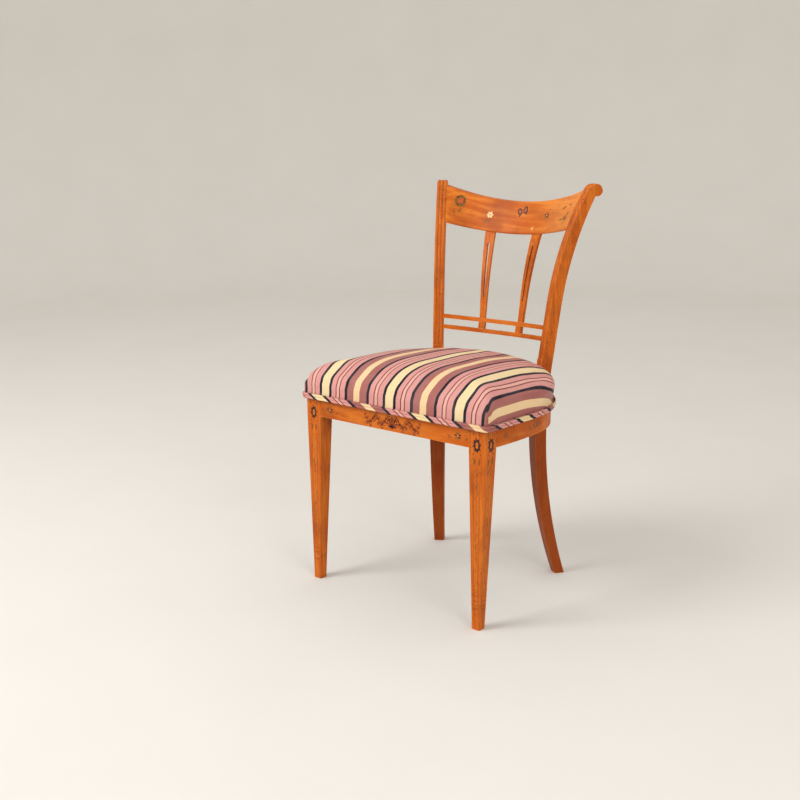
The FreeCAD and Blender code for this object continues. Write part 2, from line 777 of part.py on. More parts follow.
front_rail_blank, front_rail_tenons = make_front_rail()
ring = solid_feature("rail_ring", rail_ring())
side_room = Part.makeBox(
    val("width_over_legs"), 2 * val("width_over_legs"), val("rail_height"),
    Vector(0, rail_start.y, val("rail_bottom")))
side_stock = common("side_rail_stock", ring, solid_feature("side_rail_room", side_room))
side_blank = cut("side_rail_blank", side_stock, [behind_post])
back_room = Part.makeBox(
    val("width_over_legs"), val("width_over_legs"), val("rail_height"),
    Vector(-val("width_over_legs") / 2, CENTRE_Y, val("rail_bottom")))
back_stock = common("back_rail_stock", ring, solid_feature("back_rail_room", back_room))
back_blank = cut("back_rail_blank", back_stock, beyond_posts)


# Corner blocks behind the front legs, each with two screws, and glue blocks at the rear posts

BLOCK_LOW = RAIL_MIDDLE - val("block_height") / 2
rail_inner_y = FRONT_Y + val("front_rail_setback") + val("rail_thickness")
front_corner = Vector(LEG_OUTER - val("rail_thickness"), rail_inner_y, BLOCK_LOW)


def make_corner_stock():
    """Block with one square corner and one sloping face, large enough to be cut by the rails."""
    leg = val("block_leg")
    nip = val("block_cut")
    body = new_body("corner_block_stock", Placement(front_corner, Rotation()))
    plan = sketch_on(body, "XY_Plane", "corner_block_plan")
    outline(plan, [
        Vector(OVERRUN, 0, 0), Vector(-leg, 0, 0), Vector(-leg, nip, 0),
        Vector(-nip, leg, 0), Vector(OVERRUN, leg, 0),
    ])
    pad(body, plan, "sizes.block_height")
    doc.recompute()
    return body


def make_screw():
    """Countersunk wood screw, head at the origin, pointing along +Z."""
    body = new_body("screw_blank")
    half = sketch_on(body, "XZ_Plane", "screw_half")
    length = val("screw_length")
    shank = val("screw_radius")
    outline(half, [
        Vector(0, 0, 0), Vector(val("screw_head_radius"), 0, 0),
        Vector(shank, val("screw_head_height"), 0), Vector(shank, length - val("screw_tip_length"), 0),
        Vector(0, length, 0),
    ])
    turned = revolve(body, half, "360")
    turned.Midplane = False
    doc.recompute()
    return body


def screw_room(name, place):
    """Clearance hole for a screw: its own outline, larger by the clearance."""
    gap = val("screw_clearance")
    hole = Part.makeCylinder(val("screw_radius") + gap, val("screw_length") + gap)
    sink = Part.makeCone(
        val("screw_head_radius") + gap, val("screw_radius") + gap, val("screw_head_height") + gap)
    depth = val("block_leg")
    way_in = Part.makeCylinder(val("screw_head_radius") + gap, depth, Vector(0, 0, -depth))
    feature = solid_feature(name, hole.fuse([sink, way_in]).removeSplitter())
    feature.Placement = place
    return feature


screw_shift = val("block_leg") / 2
to_front = Placement(
    Vector(front_corner.x - screw_shift, rail_inner_y + val("screw_length") - val("screw_grip"), RAIL_MIDDLE),
    Rotation(Vector(1, 0, 0), 90))
to_side = Placement(
    Vector(front_corner.x - val("screw_length") + val("screw_grip"), rail_inner_y + screw_shift, RAIL_MIDDLE),
    Rotation(Vector(0, 1, 0), 90))
screw_places = (to_front, to_side)
screw_rooms = [screw_room(f"screw_room_{count}", place) for count, place in enumerate(screw_places, start=1)]
left_rooms = [mirror(room.Label + "_left", room) for room in screw_rooms]

front_rail = keep(cut(
    "seat_rail_front", fuse("front_rail_joined", [front_rail_blank] + front_rail_tenons),
    screw_rooms + left_rooms))
side_rail_right = keep(cut(
    "seat_rail_right", fuse("side_rail_joined", [side_blank, side_tenon, rear_tenons["side"]]), screw_rooms))
side_rail_left = keep(mirror("seat_rail_left", side_rail_right))
back_tenon_left = mirror("back_rail_tenon_left", rear_tenons["back"])
back_rail = keep(fuse("seat_rail_back", [back_blank, rear_tenons["back"], back_tenon_left]))

corner_stock = make_corner_stock()
leg_room = solid_feature("leg_room", Part.makeBox(
    val("leg_top_width") + OVERRUN, val("leg_top_depth"), val("overall_height"),
    Vector(LEG_INNER, FRONT_Y, 0)))
corner_right = keep(cut(
    "corner_block_right", corner_stock, [side_blank, leg_room] + screw_rooms))
corner_left = keep(mirror("corner_block_left", corner_right))

screw = make_screw()
screws = []
for count, place in enumerate(screw_places, start=1):
    copy = doc.addObject("Part::Feature", f"screw_{count}")
    copy.Shape = screw.Shape
    copy.Placement = place
    screws.append(copy)
screws += [mirror(item.Label + "_left", item) for item in screws]
screw_group = doc.addObject("Part::Compound", "corner_block_screws")
screw_group.Links = screws
keep(screw_group)


def make_glue_stock():
    """Three-cornered block that sits where a side rail, a post and the back rail meet."""
    leg = val("glue_block_leg")
    inner = val("rail_back_radius") - val("rail_thickness")
    body = new_body("glue_block_stock", RIGHT_POST)
    body.setExpression(
        "Placement.Base.z", "sizes.rail_bottom + sizes.rail_height / 2 - sizes.block_height / 2")
    plan = sketch_on(body, "XY_Plane", "glue_block_plan")
    outline(plan, [
        Vector(inner + OVERRUN, -leg, 0), Vector(inner + OVERRUN, leg, 0),
        Vector(inner - leg / 2, leg / 2, 0), Vector(inner - leg / 2, -leg / 2, 0),
    ])
    pad(body, plan, "sizes.block_height")
    doc.recompute()
    return body


glue_stock = make_glue_stock()
glue_right = keep(cut("glue_block_right", glue_stock, [side_blank, back_blank, rear_post_right]))
glue_left = keep(mirror("glue_block_left", glue_right))


# Crest rail

def span_arc(sketch, middle, rise, edge_height):
    """Waste above or below an edge that rises from its middle to both ends by an arc."""
    radius = arc_radius(rise, val("crest_half_span"))
    wide = val("crest_half_span") + 4 * OVERRUN
    climb = radius - math.sqrt(radius ** 2 - wide ** 2)
    left, right = Vector(-wide, middle + climb, 0), Vector(wide, middle + climb, 0)
    sketch.addGeometry(arc3(left, Vector(0, middle, 0), right))
    sketch.addGeometry(line(right, Vector(wide, edge_height, 0)))
    sketch.addGeometry(line(Vector(wide, edge_height, 0), Vector(-wide, edge_height, 0)))
    sketch.addGeometry(line(Vector(-wide, edge_height, 0), left))


def make_crest_blank():
    body = new_body("crest_blank", radial_frame(0))
    section = sketch_on(body, "XZ_Plane", "crest_section")
    low = front_slope(val("crest_bottom_middle") - 4 * OVERRUN)
    high = front_slope(val("crest_top_middle") + val("crest_top_rise") + 2 * OVERRUN)
    mid = (low + high) / 2
    outer = bow_radius - val("crest_setback")
    inner = outer - val("crest_thickness")
    curves = [
        arc3(on_bow(outer, low), on_bow(outer, mid), on_bow(outer, high)),
        line(on_bow(outer, high), on_bow(inner, high)),
        arc3(on_bow(inner, high), on_bow(inner, mid), on_bow(inner, low)),
        line(on_bow(inner, low), on_bow(outer, low)),
    ]
    for curve in curves:
        curve.rotate(Placement(Vector(0, 0, 0), Rotation(Vector(1, 0, 0), -90)))
        section.addGeometry(curve)
    revolve(body, section, "2 * sizes.post_turn")
    doc.recompute()
    top = sketch_on(body, "YZ_Plane", "crest_top_edge")
    span_arc(top, val("crest_top_middle"), val("crest_top_rise"), val("overall_height") + 8 * OVERRUN)
    pocket(body, top)
    bottom = sketch_on(body, "YZ_Plane", "crest_bottom_edge")
    below = val("crest_bottom_middle") - 8 * OVERRUN
    span_arc(bottom, val("crest_bottom_middle"), val("crest_bottom_rise"), below)
    pocket(body, bottom)
    doc.recompute()
    return body


def above_crest_bottom():
    """Everything above the crest rail's lower edge, to trim the splats' shoulders."""
    body = new_body("above_crest_bottom", radial_frame(0))
    view = sketch_on(body, "YZ_Plane", "above_crest_view")
    span_arc(view, val("crest_bottom_middle"), val("crest_bottom_rise"), val("overall_height") + 8 * OVERRUN)
    pad(body, view, "sizes.overall_height", both_ways=False)
    doc.recompute()
    return body


crest_blank = make_crest_blank()
crest_trimmed = cut("crest_trimmed", crest_blank, beyond_stiles)
doc.recompute()
crest_edges = [
    edge for edge in crest_trimmed.Shape.Edges
    if edge.BoundBox.XLength > val("crest_half_span")
]
crest_rounded = solid_feature(
    "crest_rounded", crest_trimmed.Shape.makeFillet(val("crest_edge_round"), crest_edges))


# Splats: each stands on the upper cross rail and is let into the crest rail

splat_frame = radial_frame(val("splat_turn"))
splat_foot = splat_frame.inverse().multVec(cross_point(math.radians(val("splat_turn")), SPLAT_LOW))


def make_splat_blank():
    body = new_body("splat_blank", splat_frame)
    side = sketch_on(body, "XZ_Plane", "splat_side")
    low = splat_foot.z - 2 * OVERRUN
    high = val("crest_bottom_middle") + 4 * OVERRUN
    top_angle = front_slope(high)
    setback = val("splat_setback")
    ahead = Vector(math.cos(LEAN), 0, -math.sin(LEAN))
    low_front = Vector(front_radius(low) + setback / math.cos(LEAN), 0, low)
    low_back = low_front + Vector(val("splat_thickness") / math.cos(LEAN), 0, 0)
    front, back = bow_radius - setback, bow_radius - setback - val("splat_thickness")
    mid_angle = (LEAN + top_angle) / 2
    curves = [
        line(low_front, bow_start + ahead * setback),
        arc3(on_bow(front, LEAN), on_bow(front, mid_angle), on_bow(front, top_angle)),
        line(on_bow(front, top_angle), on_bow(back, top_angle)),
        arc3(on_bow(back, top_angle), on_bow(back, mid_angle), on_bow(back, LEAN)),
        line(on_bow(back, LEAN), low_back),
        line(low_back, low_front),
    ]
    for curve in curves:
        curve.rotate(Placement(Vector(0, 0, 0), Rotation(Vector(1, 0, 0), -90)))
        side.addGeometry(curve)
    pad(body, side, "2 * sizes.splat_top_width", both_ways=True)
    doc.recompute()
    face = sketch_on(body, "YZ_Plane", "splat_face")
    far = val("splat_top_width") + OVERRUN

    def lean_out(height):
        """How far the splat's middle line stands off its plane: out at the top, in at the foot."""
        share = (height - low) / (high - low)
        return val("splat_flare") * (1 - 2 * share)

    foot = lean_out(low)
    head = lean_out(high)
    for way in (1, -1):
        outline(face, [
            Vector(foot + way * val("splat_bottom_width") / 2, low, 0),
            Vector(head + way * val("splat_top_width") / 2, high, 0),
            Vector(way * far, high, 0),
            Vector(way * far, low, 0),
        ])
    pocket(body, face)
    doc.recompute()
    slot = sketch_on(body, "YZ_Plane", "splat_slot")
    bottom, top = val("slot_bottom"), val("slot_top")
    low_half, top_half = val("slot_bottom_width") / 2, val("slot_top_width") / 2
    low_at, top_at = lean_out(bottom), lean_out(top)
    low_y, top_y = bottom + low_half, top - top_half
    slot.addGeometry(arc3(
        Vector(low_at - low_half, low_y, 0), Vector(low_at, bottom, 0), Vector(low_at + low_half, low_y, 0)))
    slot.addGeometry(line(Vector(low_at + low_half, low_y, 0), Vector(top_at + top_half, top_y, 0)))
    slot.addGeometry(arc3(
        Vector(top_at + top_half, top_y, 0), Vector(top_at, top, 0), Vector(top_at - top_half, top_y, 0)))
    slot.addGeometry(line(Vector(top_at - top_half, top_y, 0), Vector(low_at - low_half, low_y, 0)))
    pocket(body, slot)
    doc.recompute()
    return body



def below_splats():
    """Everything below the top of the upper cross rail, to trim the splats' feet."""
    reach = 2 * CROSS_RADIUS
    box = Part.makeBox(reach, 2 * reach, reach, Vector(0, -reach, SPLAT_LOW - reach))
    feature = solid_feature("below_splats", box)
    feature.Placement = CROSS_FRAME
    return feature


splat_middle = val("splat_setback") + val("splat_thickness") / 2
foot_at = Vector(
    front_radius(splat_foot.z) + splat_middle / math.cos(LEAN), val("splat_flare"), splat_foot.z)
splat_foot_tenon, splat_foot_mortise = tenon_pair(
    "splat_foot", splat_frame, foot_at, "sizes.splat_tenon_thickness", "sizes.splat_tenon_width",
    "2 * sizes.splat_tenon_bottom", "sizes.tenon_clearance", CROSS_TILT)
splat_share = math.sin(math.radians(val("splat_turn")))
head_radius = front_radius(val("crest_bottom_middle")) + splat_middle
head_rise_radius = arc_radius(val("crest_bottom_rise"), val("crest_half_span"))
head_x = head_radius * splat_share
head_level = val("crest_bottom_middle") + head_rise_radius - math.sqrt(head_rise_radius ** 2 - head_x ** 2)
head_slope = front_slope(head_level)
head_at = Vector(
    front_radius(head_level) + splat_middle / math.cos(head_slope), -val("splat_flare"), head_level)
splat_head_tenon, splat_head_mortise = tenon_pair(
    "splat_head", splat_frame, head_at, "sizes.splat_tenon_thickness", "sizes.splat_tenon_width",
    "2 * sizes.splat_tenon_top", "sizes.tenon_clearance", head_slope)

splat_trimmed = cut("splat_trimmed", make_splat_blank(), [above_crest_bottom(), below_splats()])
splat_right = keep(fuse("splat_right", [splat_trimmed, splat_foot_tenon, splat_head_tenon]))
splat_left = keep(mirror("splat_left", splat_right))

crest_tenon_left = mirror("crest_tenon_left", crest_tenon)
head_mortise_left = mirror("splat_head_mortise_left", splat_head_mortise)
crest = keep(cut(
    "crest_rail", fuse("crest_joined", [crest_rounded, crest_tenon, crest_tenon_left]),
    [splat_head_mortise, head_mortise_left]))


# Cross rails and spacer blocks

def make_cross_rail(name, bottom, mortises):
    body = new_body(name + "_blank", CROSS_FRAME)
    section = sketch_on(body, "XZ_Plane", name + "_section")
    outer = CROSS_RADIUS + val("cross_rail_thickness")
    top = bottom + val("cross_rail_height")
    outline(section, [
        Vector(CROSS_RADIUS, bottom, 0), Vector(outer, bottom, 0),
        Vector(outer, top, 0), Vector(CROSS_RADIUS, top, 0)])
    revolve(body, section, "2 * sizes.post_turn")
    doc.recompute()
    trimmed = cut(name + "_trimmed", body, beyond_stiles)
    left = mirror(name + "_tenon_left", cross_tenons[name])
    if not mortises:
        return fuse(name, [trimmed, cross_tenons[name], left])
    return cut(name, fuse(name + "_joined", [trimmed, cross_tenons[name], left]), mortises)


foot_mortise_left = mirror("splat_foot_mortise_left", splat_foot_mortise)
keep(make_cross_rail("cross_rail_lower", 0, []))
keep(make_cross_rail("cross_rail_upper", UPPER_RAIL, [splat_foot_mortise, foot_mortise_left]))


def make_spacer():
    turned = CROSS_FRAME * Placement(Vector(0, 0, 0), Rotation(Vector(0, 0, 1), -val("spacer_turn")))
    front = Vector(CROSS_RADIUS + val("spacer_setback"), 0, val("cross_rail_height"))
    body = new_body("spacer_block_right", turned * Placement(front, Rotation(Vector(0, 0, 1), -90)))
    plan = sketch_on(body, "XY_Plane", "spacer_plan")
    rectangle(plan, "sizes.spacer_width", "sizes.spacer_depth")
    pad(body, plan, "sizes.cross_rail_gap")
    doc.recompute()
    return body


spacer_right = keep(make_spacer())
spacer_left = keep(mirror("spacer_block_left", spacer_right))


# Webbing, burlap, pad, cover, welt and dust cover

GAP = val("post_clearance")
cover_low = RAIL_TOP - val("cover_drop")
welt_level = cover_low + 2 * val("welt_cord_radius") + val("welt_rise")
welt_high = welt_level + val("welt_cord_radius")


def post_notches():
    """Room for both posts: wide up to the stile's foot, narrow above it."""
    depth = val("post_thickness") + val("crown_height") - RAIL_TOP
    start = val("waist_radius") - GAP
    low_top = val("stile_base_height") + GAP
    low = Part.makeBox(
        depth, val("post_width") + 2 * GAP, low_top, Vector(start, -val("post_width") / 2 - GAP, 0))
    lean_at = front_radius(low_top) - GAP
    high = Part.makeBox(
        depth, val("stile_width") + 2 * GAP, val("overall_height"),
        Vector(lean_at, -val("stile_width") / 2 - GAP, 0))
    both = low.fuse(high)
    both.Placement = RIGHT_POST
    return both.fuse(both.mirror(Vector(0, 0, 0), Vector(1, 0, 0)))


notches = solid_feature("post_notches", post_notches())


webbing_middle = (rail_inner_y + CENTRE_Y + val("rail_back_radius") - val("rail_thickness")) / 2


def make_webbing(label, low, count, lengthwise):
    """Straps laid side by side over the open middle of the seat frame and trimmed to its outline."""
    slab = seat_slab(cover_start, -val("web_inset"), low, val("web_thickness"))
    wide = 2 * val("width_over_legs")
    straps = []
    for place in range(count):
        shift = (place - (count - 1) / 2) * val("web_spacing")
        if lengthwise:
            corner = Vector(shift - val("web_width") / 2, -wide / 2, low)
            strap = Part.makeBox(val("web_width"), wide, val("web_thickness"), corner)
        else:
            middle = webbing_middle + shift
            corner = Vector(-wide / 2, middle - val("web_width") / 2, low)
            strap = Part.makeBox(wide, val("web_width"), val("web_thickness"), corner)
        straps.append(strap.common(slab).cut(notches.Shape))
    return solid_feature(label, Part.Compound([solid for strap in straps for solid in strap.Solids]))


keep(make_webbing("webbing_crosswise", RAIL_TOP, 4, False))
keep(make_webbing("webbing_lengthwise", RAIL_TOP + val("web_thickness"), 4, True))
BURLAP_LOW = RAIL_TOP + 2 * val("web_thickness")
burlap = seat_slab(cover_start, -val("web_inset") + val("pad_clearance"), BURLAP_LOW, val("burlap_thickness"))
keep(solid_feature("burlap_deck", burlap.cut(notches.Shape)))
PAD_LOW = BURLAP_LOW + val("burlap_thickness")


def skirt_swell(height):
    """How far the soft sides swell out above the welt: most at their top edge, nothing at the front."""
    share = max(height - welt_high, 0) / (val("edge_height") - welt_high)
    return val("cover_bulge") * math.sin(math.pi / 2 * share) ** 2


def crown_loft(inset, low):
    """Closed form of the seat: soft side, then a crown whose section is a quarter ellipse."""
    corner = val("seat_corner_radius") + val("cover_overhang") - inset
    edge = val("edge_height")
    rise = val("crown_height") - inset - edge
    upright = val("cover_overhang") - inset
    wires = []
    for step in range(SIDE_STEPS + 1):
        height = low + (edge - low) * step / SIDE_STEPS
        swell = skirt_swell(height)
        wires.append(seat_wire(cover_start - Vector(swell, 0, 0), upright + swell, corner, height, upright))
    near = cover_start - Vector(val("cover_bulge"), 0, 0)
    for step in range(1, CROWN_STEPS + 1):
        angle = math.pi / 2 * step / CROWN_STEPS
        share = 1 - math.cos(angle)
        side = upright + val("cover_bulge") - share * val("crown_inset")
        front = upright - share * val("crown_front_inset")
        rounder = corner + share * val("crown_corner_radius")
        wires.append(seat_wire(near, side, rounder, edge + rise * math.sin(angle), front))
    return Part.makeLoft(wires, True, False, False, LOFT_DEGREE)


notch_shape = notches.Shape
outer_form = crown_loft(0, cover_low)
inner_form = crown_loft(val("cover_thickness"), cover_low - OVERRUN)
pad_form = crown_loft(val("cover_thickness") + val("pad_clearance"), cover_low - OVERRUN)
pad_room = Part.makeBox(
    2 * val("width_over_legs"), 2 * val("width_over_legs"), val("overall_height"),
    Vector(-val("width_over_legs"), -val("width_over_legs"), PAD_LOW))
keep(solid_feature("seat_cover", outer_form.cut(inner_form).cut(notch_shape)))
keep(solid_feature("seat_pad", pad_form.common(pad_room).cut(notch_shape)))


def welt_section(at, out):
    """Two cords side by side, sewn together: an upright figure of eight."""
    radius = val("welt_cord_radius")
    waist_half = val("welt_waist") / 2
    rise = math.sqrt(radius ** 2 - waist_half ** 2)
    up = Vector(0, 0, 1)
    edges = []
    for way in (1, -1):
        middle = at + up * (way * rise)
        near, far = at - out * waist_half, at + out * waist_half
        left = middle - out * radius
        right = middle + out * radius
        edges.append(Part.Arc(near, left, middle + up * (way * radius)).toShape())
        edges.append(Part.Arc(middle + up * (way * radius), right, far).toShape())
    return Part.Wire(Part.__sortEdges__(edges))


def make_welts():
    """Front welt round three sides from post to post, and a short one between the posts."""
    radius = val("welt_cord_radius")
    level = welt_level
    offset = val("cover_overhang") + val("pad_clearance") + radius
    front_line, right, back_arc, left = seat_edges(
        cover_start, offset, val("seat_corner_radius") + radius, level)
    path = Part.Wire(left + [front_line] + right)
    start = path.OrderedVertexes[0].Point
    first = path.OrderedEdges[0]
    tangent = first.tangentAt(first.FirstParameter)
    out = tangent.cross(Vector(0, 0, 1)).normalize()
    front = path.makePipeShell([welt_section(start, out)], True, False)
    around = Part.Face(welt_section(Vector(back_arc.Curve.Radius, CENTRE_Y, level), Vector(1, 0, 0)))
    back = around.revolve(Vector(0, CENTRE_Y, 0), Vector(0, 0, 1), 180)
    return front, back


welt_front, welt_back = make_welts()
keep(solid_feature("welt_front", welt_front.cut(notch_shape)))
gap_zones = []
for zone, way in zip(beyond_posts, (1, -1)):
    wider = zone.Shape.copy()
    wider.translate(zone.Placement.Rotation.multVec(Vector(0, 1, 0)) * (way * GAP))
    gap_zones.append(wider)
keep(solid_feature("welt_back", welt_back.cut(gap_zones)))

dust_cover = seat_slab(
    rail_start, -val("dust_cover_inset"), val("rail_bottom") - val("dust_cover_thickness"),
    val("dust_cover_thickness"))
leg_gap = Part.makeBox(
    val("leg_top_width") + OVERRUN, val("leg_top_depth") + 2 * GAP, val("overall_height"),
    Vector(LEG_INNER - GAP, FRONT_Y - GAP, 0))
leg_gaps = [leg_gap, leg_gap.mirror(Vector(0, 0, 0), Vector(1, 0, 0))]
keep(solid_feature("dust_cover", dust_cover.cut(leg_gaps).cut(notch_shape)))

doc.recompute()

for item in doc.Objects:
    if {"Invalid", "Error"} & set(item.State):
        raise RuntimeError(f"{item.Label} did not build: {item.State}")

os.makedirs("parts", exist_ok=True)
for node in nodes:
    shape = node.Shape
    if shape.isNull() or not shape.isValid() or not shape.Solids:
        raise RuntimeError(f"{node.Label} has no sound shape")
    shape.exportStep(f"parts/{node.Label}.step")
    print(node.Label, len(shape.Solids), round(shape.Volume))
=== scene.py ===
import math

import bmesh
import bpy
import numpy as np
from mathutils import Matrix, Vector, noise
from mathutils.bvhtree import BVHTree


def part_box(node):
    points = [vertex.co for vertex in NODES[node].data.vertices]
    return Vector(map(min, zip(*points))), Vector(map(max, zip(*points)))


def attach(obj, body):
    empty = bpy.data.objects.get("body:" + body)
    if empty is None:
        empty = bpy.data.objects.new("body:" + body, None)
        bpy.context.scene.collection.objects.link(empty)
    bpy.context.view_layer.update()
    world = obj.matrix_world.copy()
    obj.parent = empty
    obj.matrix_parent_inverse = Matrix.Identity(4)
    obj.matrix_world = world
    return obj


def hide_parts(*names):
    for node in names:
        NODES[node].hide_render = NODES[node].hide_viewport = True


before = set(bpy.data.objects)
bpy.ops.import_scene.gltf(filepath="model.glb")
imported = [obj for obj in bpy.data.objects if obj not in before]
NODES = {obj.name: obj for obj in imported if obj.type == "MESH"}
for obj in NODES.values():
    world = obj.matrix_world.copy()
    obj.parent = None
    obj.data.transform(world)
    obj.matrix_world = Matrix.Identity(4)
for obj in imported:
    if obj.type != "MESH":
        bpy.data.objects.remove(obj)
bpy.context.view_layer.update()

bl_info = {
    "name": "Painted side chair",
    "version": (1, 0, 0),
    "blender": (4, 5, 0),
    "location": "3D View > Sidebar > Side chair",
    "description": "Dresses the side chair: painted wood, striped seat, double welt, webbing and dust cover",
    "category": "Object",
}

MM = 0.001


def linear(red, green, blue):
    """Colour from its usual 0 to 255 values, as the shaders take it."""
    def one(value):
        part = value / 255
        return part / 12.92 if part <= 0.04045 else ((part + 0.055) / 1.055) ** 2.4
    return one(red), one(green), one(blue), 1.0


def colour(name, text, red, green, blue):
    return bpy.props.FloatVectorProperty(
        name=name, description=text, subtype="COLOR", size=4, min=0.0, max=1.0,
        default=linear(red, green, blue))


def number(name, text, default, **more):
    return bpy.props.FloatProperty(name=name, description=text, default=default, **more)


def length(name, text, size):
    return number(name, text, size * MM, unit="LENGTH", precision=5)


def share(name, text, amount):
    return number(name, text, amount, subtype="FACTOR", min=0.0, max=1.0)


def angle(name, text, degrees):
    return number(name, text, math.radians(degrees), subtype="ANGLE")


# Sizes and colours that a user would change

class ChairWood(bpy.types.PropertyGroup):
    """Painted wood, its ornament and its wear, with painted shade and painted highlights."""
    glaze: colour("Glaze", "Salmon orange glaze over the wood", 190, 90, 14)
    glaze_light: colour("Light glaze", "Where the glaze is thin", 218, 124, 38)
    # The dark glaze is also painted as shade on the rear posts below the seat.
    glaze_dark_and_shade: colour("Dark glaze", "Where the glaze lies thick", 124, 44, 6)
    # This colour is also painted as shade in grooves, hollows and joints.
    grime_and_shade: colour("Grime", "Dark rubbed-in wax in grooves and joints", 54, 20, 8)
    # The worn colour is also a painted highlight along the edges and a painted sheen on the crest's right-hand part.
    worn: colour("Worn edge", "Paler wood at rubbed edges", 236, 164, 92)
    bare: colour("Bare wood", "Unfinished blocks", 196, 158, 108)
    # Wear also sets how strong the painted highlight along the edges is.
    wear: share("Wear", "How much the edges are rubbed", 0.5)
    ink: colour("Dark paint", "Outlines and stems", 46, 16, 8)
    brown: colour("Brown paint", "Fine lines and scrolls", 138, 58, 14)
    leaf: colour("Green paint", "Leaves", 104, 92, 16)
    rose: colour("Rose paint", "Small flowers", 190, 82, 44)
    cream: colour("Cream paint", "Highlights of the flowers", 252, 216, 160)
    film: length("Paint film", "How far the painted ornament stands proud", 0.1)


class ChairFabric(bpy.types.PropertyGroup):
    """Striped seat fabric, the cushion and the welt."""
    pink: colour("Pink", "Pink stripe", 224, 156, 150)
    blush: colour("Blush", "Pale stripe between the thin lines", 236, 178, 164)
    mauve: colour("Mauve", "Mauve stripe", 172, 101, 95)
    cream: colour("Cream", "Yellow cream stripe", 246, 222, 172)
    peach: colour("Peach", "Peach cream stripe", 246, 214, 164)
    navy: colour("Navy", "Navy stripe", 14, 10, 30)
    thread: colour("Thin line", "Thin brown line", 126, 52, 46)
    repeat: length("Repeat", "Width of one repeat of the stripes", 176.4)
    phase: length("Phase", "Where a repeat starts, from the middle of the seat", 53.0)
    pitch: length("Thread pitch", "Distance between the ribs of the weave", 0.9)
    crown: length("Crown height", "Top of the cushion above the floor", 491.0)
    swell: length("Swell", "How far the stuffing may push the cover out", 4.0)
    voxel: length("Mesh size", "Size of the cushion's mesh while it swells", 6.0)
    bias: number("Bias slant", "How far the welt's stripes slant along it for its height", 1.6)
    bias_stretch: share("Bias stretch", "Width across the stripes for a length of welt", 0.64)


class ChairUnderside(bpy.types.PropertyGroup):
    """Straps, burlap and dust cover under the seat."""
    jute: colour("Jute", "Webbing straps", 176, 140, 92)
    jute_line: colour("Strap line", "Coloured line along the straps", 120, 60, 44)
    burlap: colour("Burlap", "Coarse deck cloth", 168, 132, 86)
    cambric: colour("Cambric", "Thin black dust cloth", 26, 25, 27)
    steel: colour("Steel", "Screws and tacks", 150, 146, 140)
    strap_lift: length("Strap weave", "How far a strap rises over another", 0.75)
    sag: length("Sag", "How far the dust cover hangs at its middle", 2.5)
    tack_spacing: length("Tack spacing", "Distance between the dust cover's tacks", 42.0)
    tack_radius: length("Tack radius", "Radius of a tack's head", 2.6)


class ChairStage(bpy.types.PropertyGroup):
    """Floor, light and camera."""
    floor: colour("Floor", "Pale floor and backdrop", 228, 226, 221)
    sky: colour("Sky", "Soft light from all round", 255, 250, 244)
    sky_strength: number("Sky strength", "Strength of the soft light", 0.80)
    key: number("Key light", "Watts of the large light", 84.0, unit="POWER")
    fill: number("Fill light", "Watts of the second light", 27.0, unit="POWER")
    lens: number("Lens", "Focal length in millimetres", 52.2)
    tilt: angle("Tilt", "Camera's angle below level", 12.88)
    turn: angle("Turn", "Camera's turn round the chair", 40.58)
    roll: angle("Roll", "Camera's roll", -0.35)
    place: bpy.props.FloatVectorProperty(
        name="Camera place", description="Where the camera stands", subtype="TRANSLATION", size=3,
        default=(1.4872, -1.9342, 0.95))


# Shader helpers: an input may be a number, a colour or another node's output

def put(tree, kind, inputs=(), **settings):
    node = tree.nodes.new(kind)
    for name, value in settings.items():
        setattr(node, name, value)
    for name, value in dict(inputs).items():
        socket = node.inputs[name]
        if isinstance(value, bpy.types.NodeSocket):
            tree.links.new(value, socket)
        else:
            socket.default_value = value
    return node


def maths(tree, operation, *values, clamp=False):
    return put(tree, "ShaderNodeMath", enumerate(values), operation=operation, use_clamp=clamp).outputs[0]


def scaled(tree, vector, factors):
    return put(
        tree, "ShaderNodeVectorMath", {0: vector, 1: factors}, operation="MULTIPLY").outputs["Vector"]


def blotches(tree, vector, scale, detail=3.0, distortion=0.0, roughness=0.5):
    """Noise from 0 to 1."""
    node = put(tree, "ShaderNodeTexNoise", {
        "Vector": vector, "Scale": scale, "Detail": detail, "Roughness": roughness, "Distortion": distortion})
    return node.outputs["Fac"]


def between(tree, value, low, high, smooth=True):
    """0 below low, 1 above high."""
    node = put(tree, "ShaderNodeMapRange", {"Value": value, "From Min": low, "From Max": high})
    if smooth:
        node.interpolation_type = "SMOOTHSTEP"
    return node.outputs["Result"]


def mixed(tree, amount, a, b, blend="MIX"):
    node = put(tree, "ShaderNodeMix", {"Factor": amount}, data_type="RGBA", blend_type=blend)
    for socket, value in ((node.inputs[6], a), (node.inputs[7], b)):
        if isinstance(value, bpy.types.NodeSocket):
            tree.links.new(value, socket)
        else:
            socket.default_value = value
    return node.outputs[2]


def object_place(tree):
    return tree.nodes.new("ShaderNodeTexCoord").outputs["Object"]


def attribute(tree, name):
    return put(tree, "ShaderNodeAttribute", attribute_name=name, attribute_type="GEOMETRY").outputs["Fac"]


def new_group(name, sockets_in, sockets_out):
    """Empty node group with its sockets: name and kind, and a starting value for an input."""
    tree = bpy.data.node_groups.new(name, "ShaderNodeTree")
    for label, kind, value in sockets_in:
        socket = tree.interface.new_socket(label, in_out="INPUT", socket_type=kind)
        socket.default_value = value
    for label, kind in sockets_out:
        tree.interface.new_socket(label, in_out="OUTPUT", socket_type=kind)
    return tree, tree.nodes.new("NodeGroupInput").outputs, tree.nodes.new("NodeGroupOutput")


def effect(tree, name, **values):
    """One of the shared groups, placed in a material with its own values."""
    node = tree.nodes.new("ShaderNodeGroup")
    node.node_tree = bpy.data.node_groups[name]
    for label, value in values.items():
        socket = node.inputs[label.replace("_", " ").capitalize()]
        if isinstance(value, bpy.types.NodeSocket):
            tree.links.new(value, socket)
        else:
            socket.default_value = value
    return node.outputs


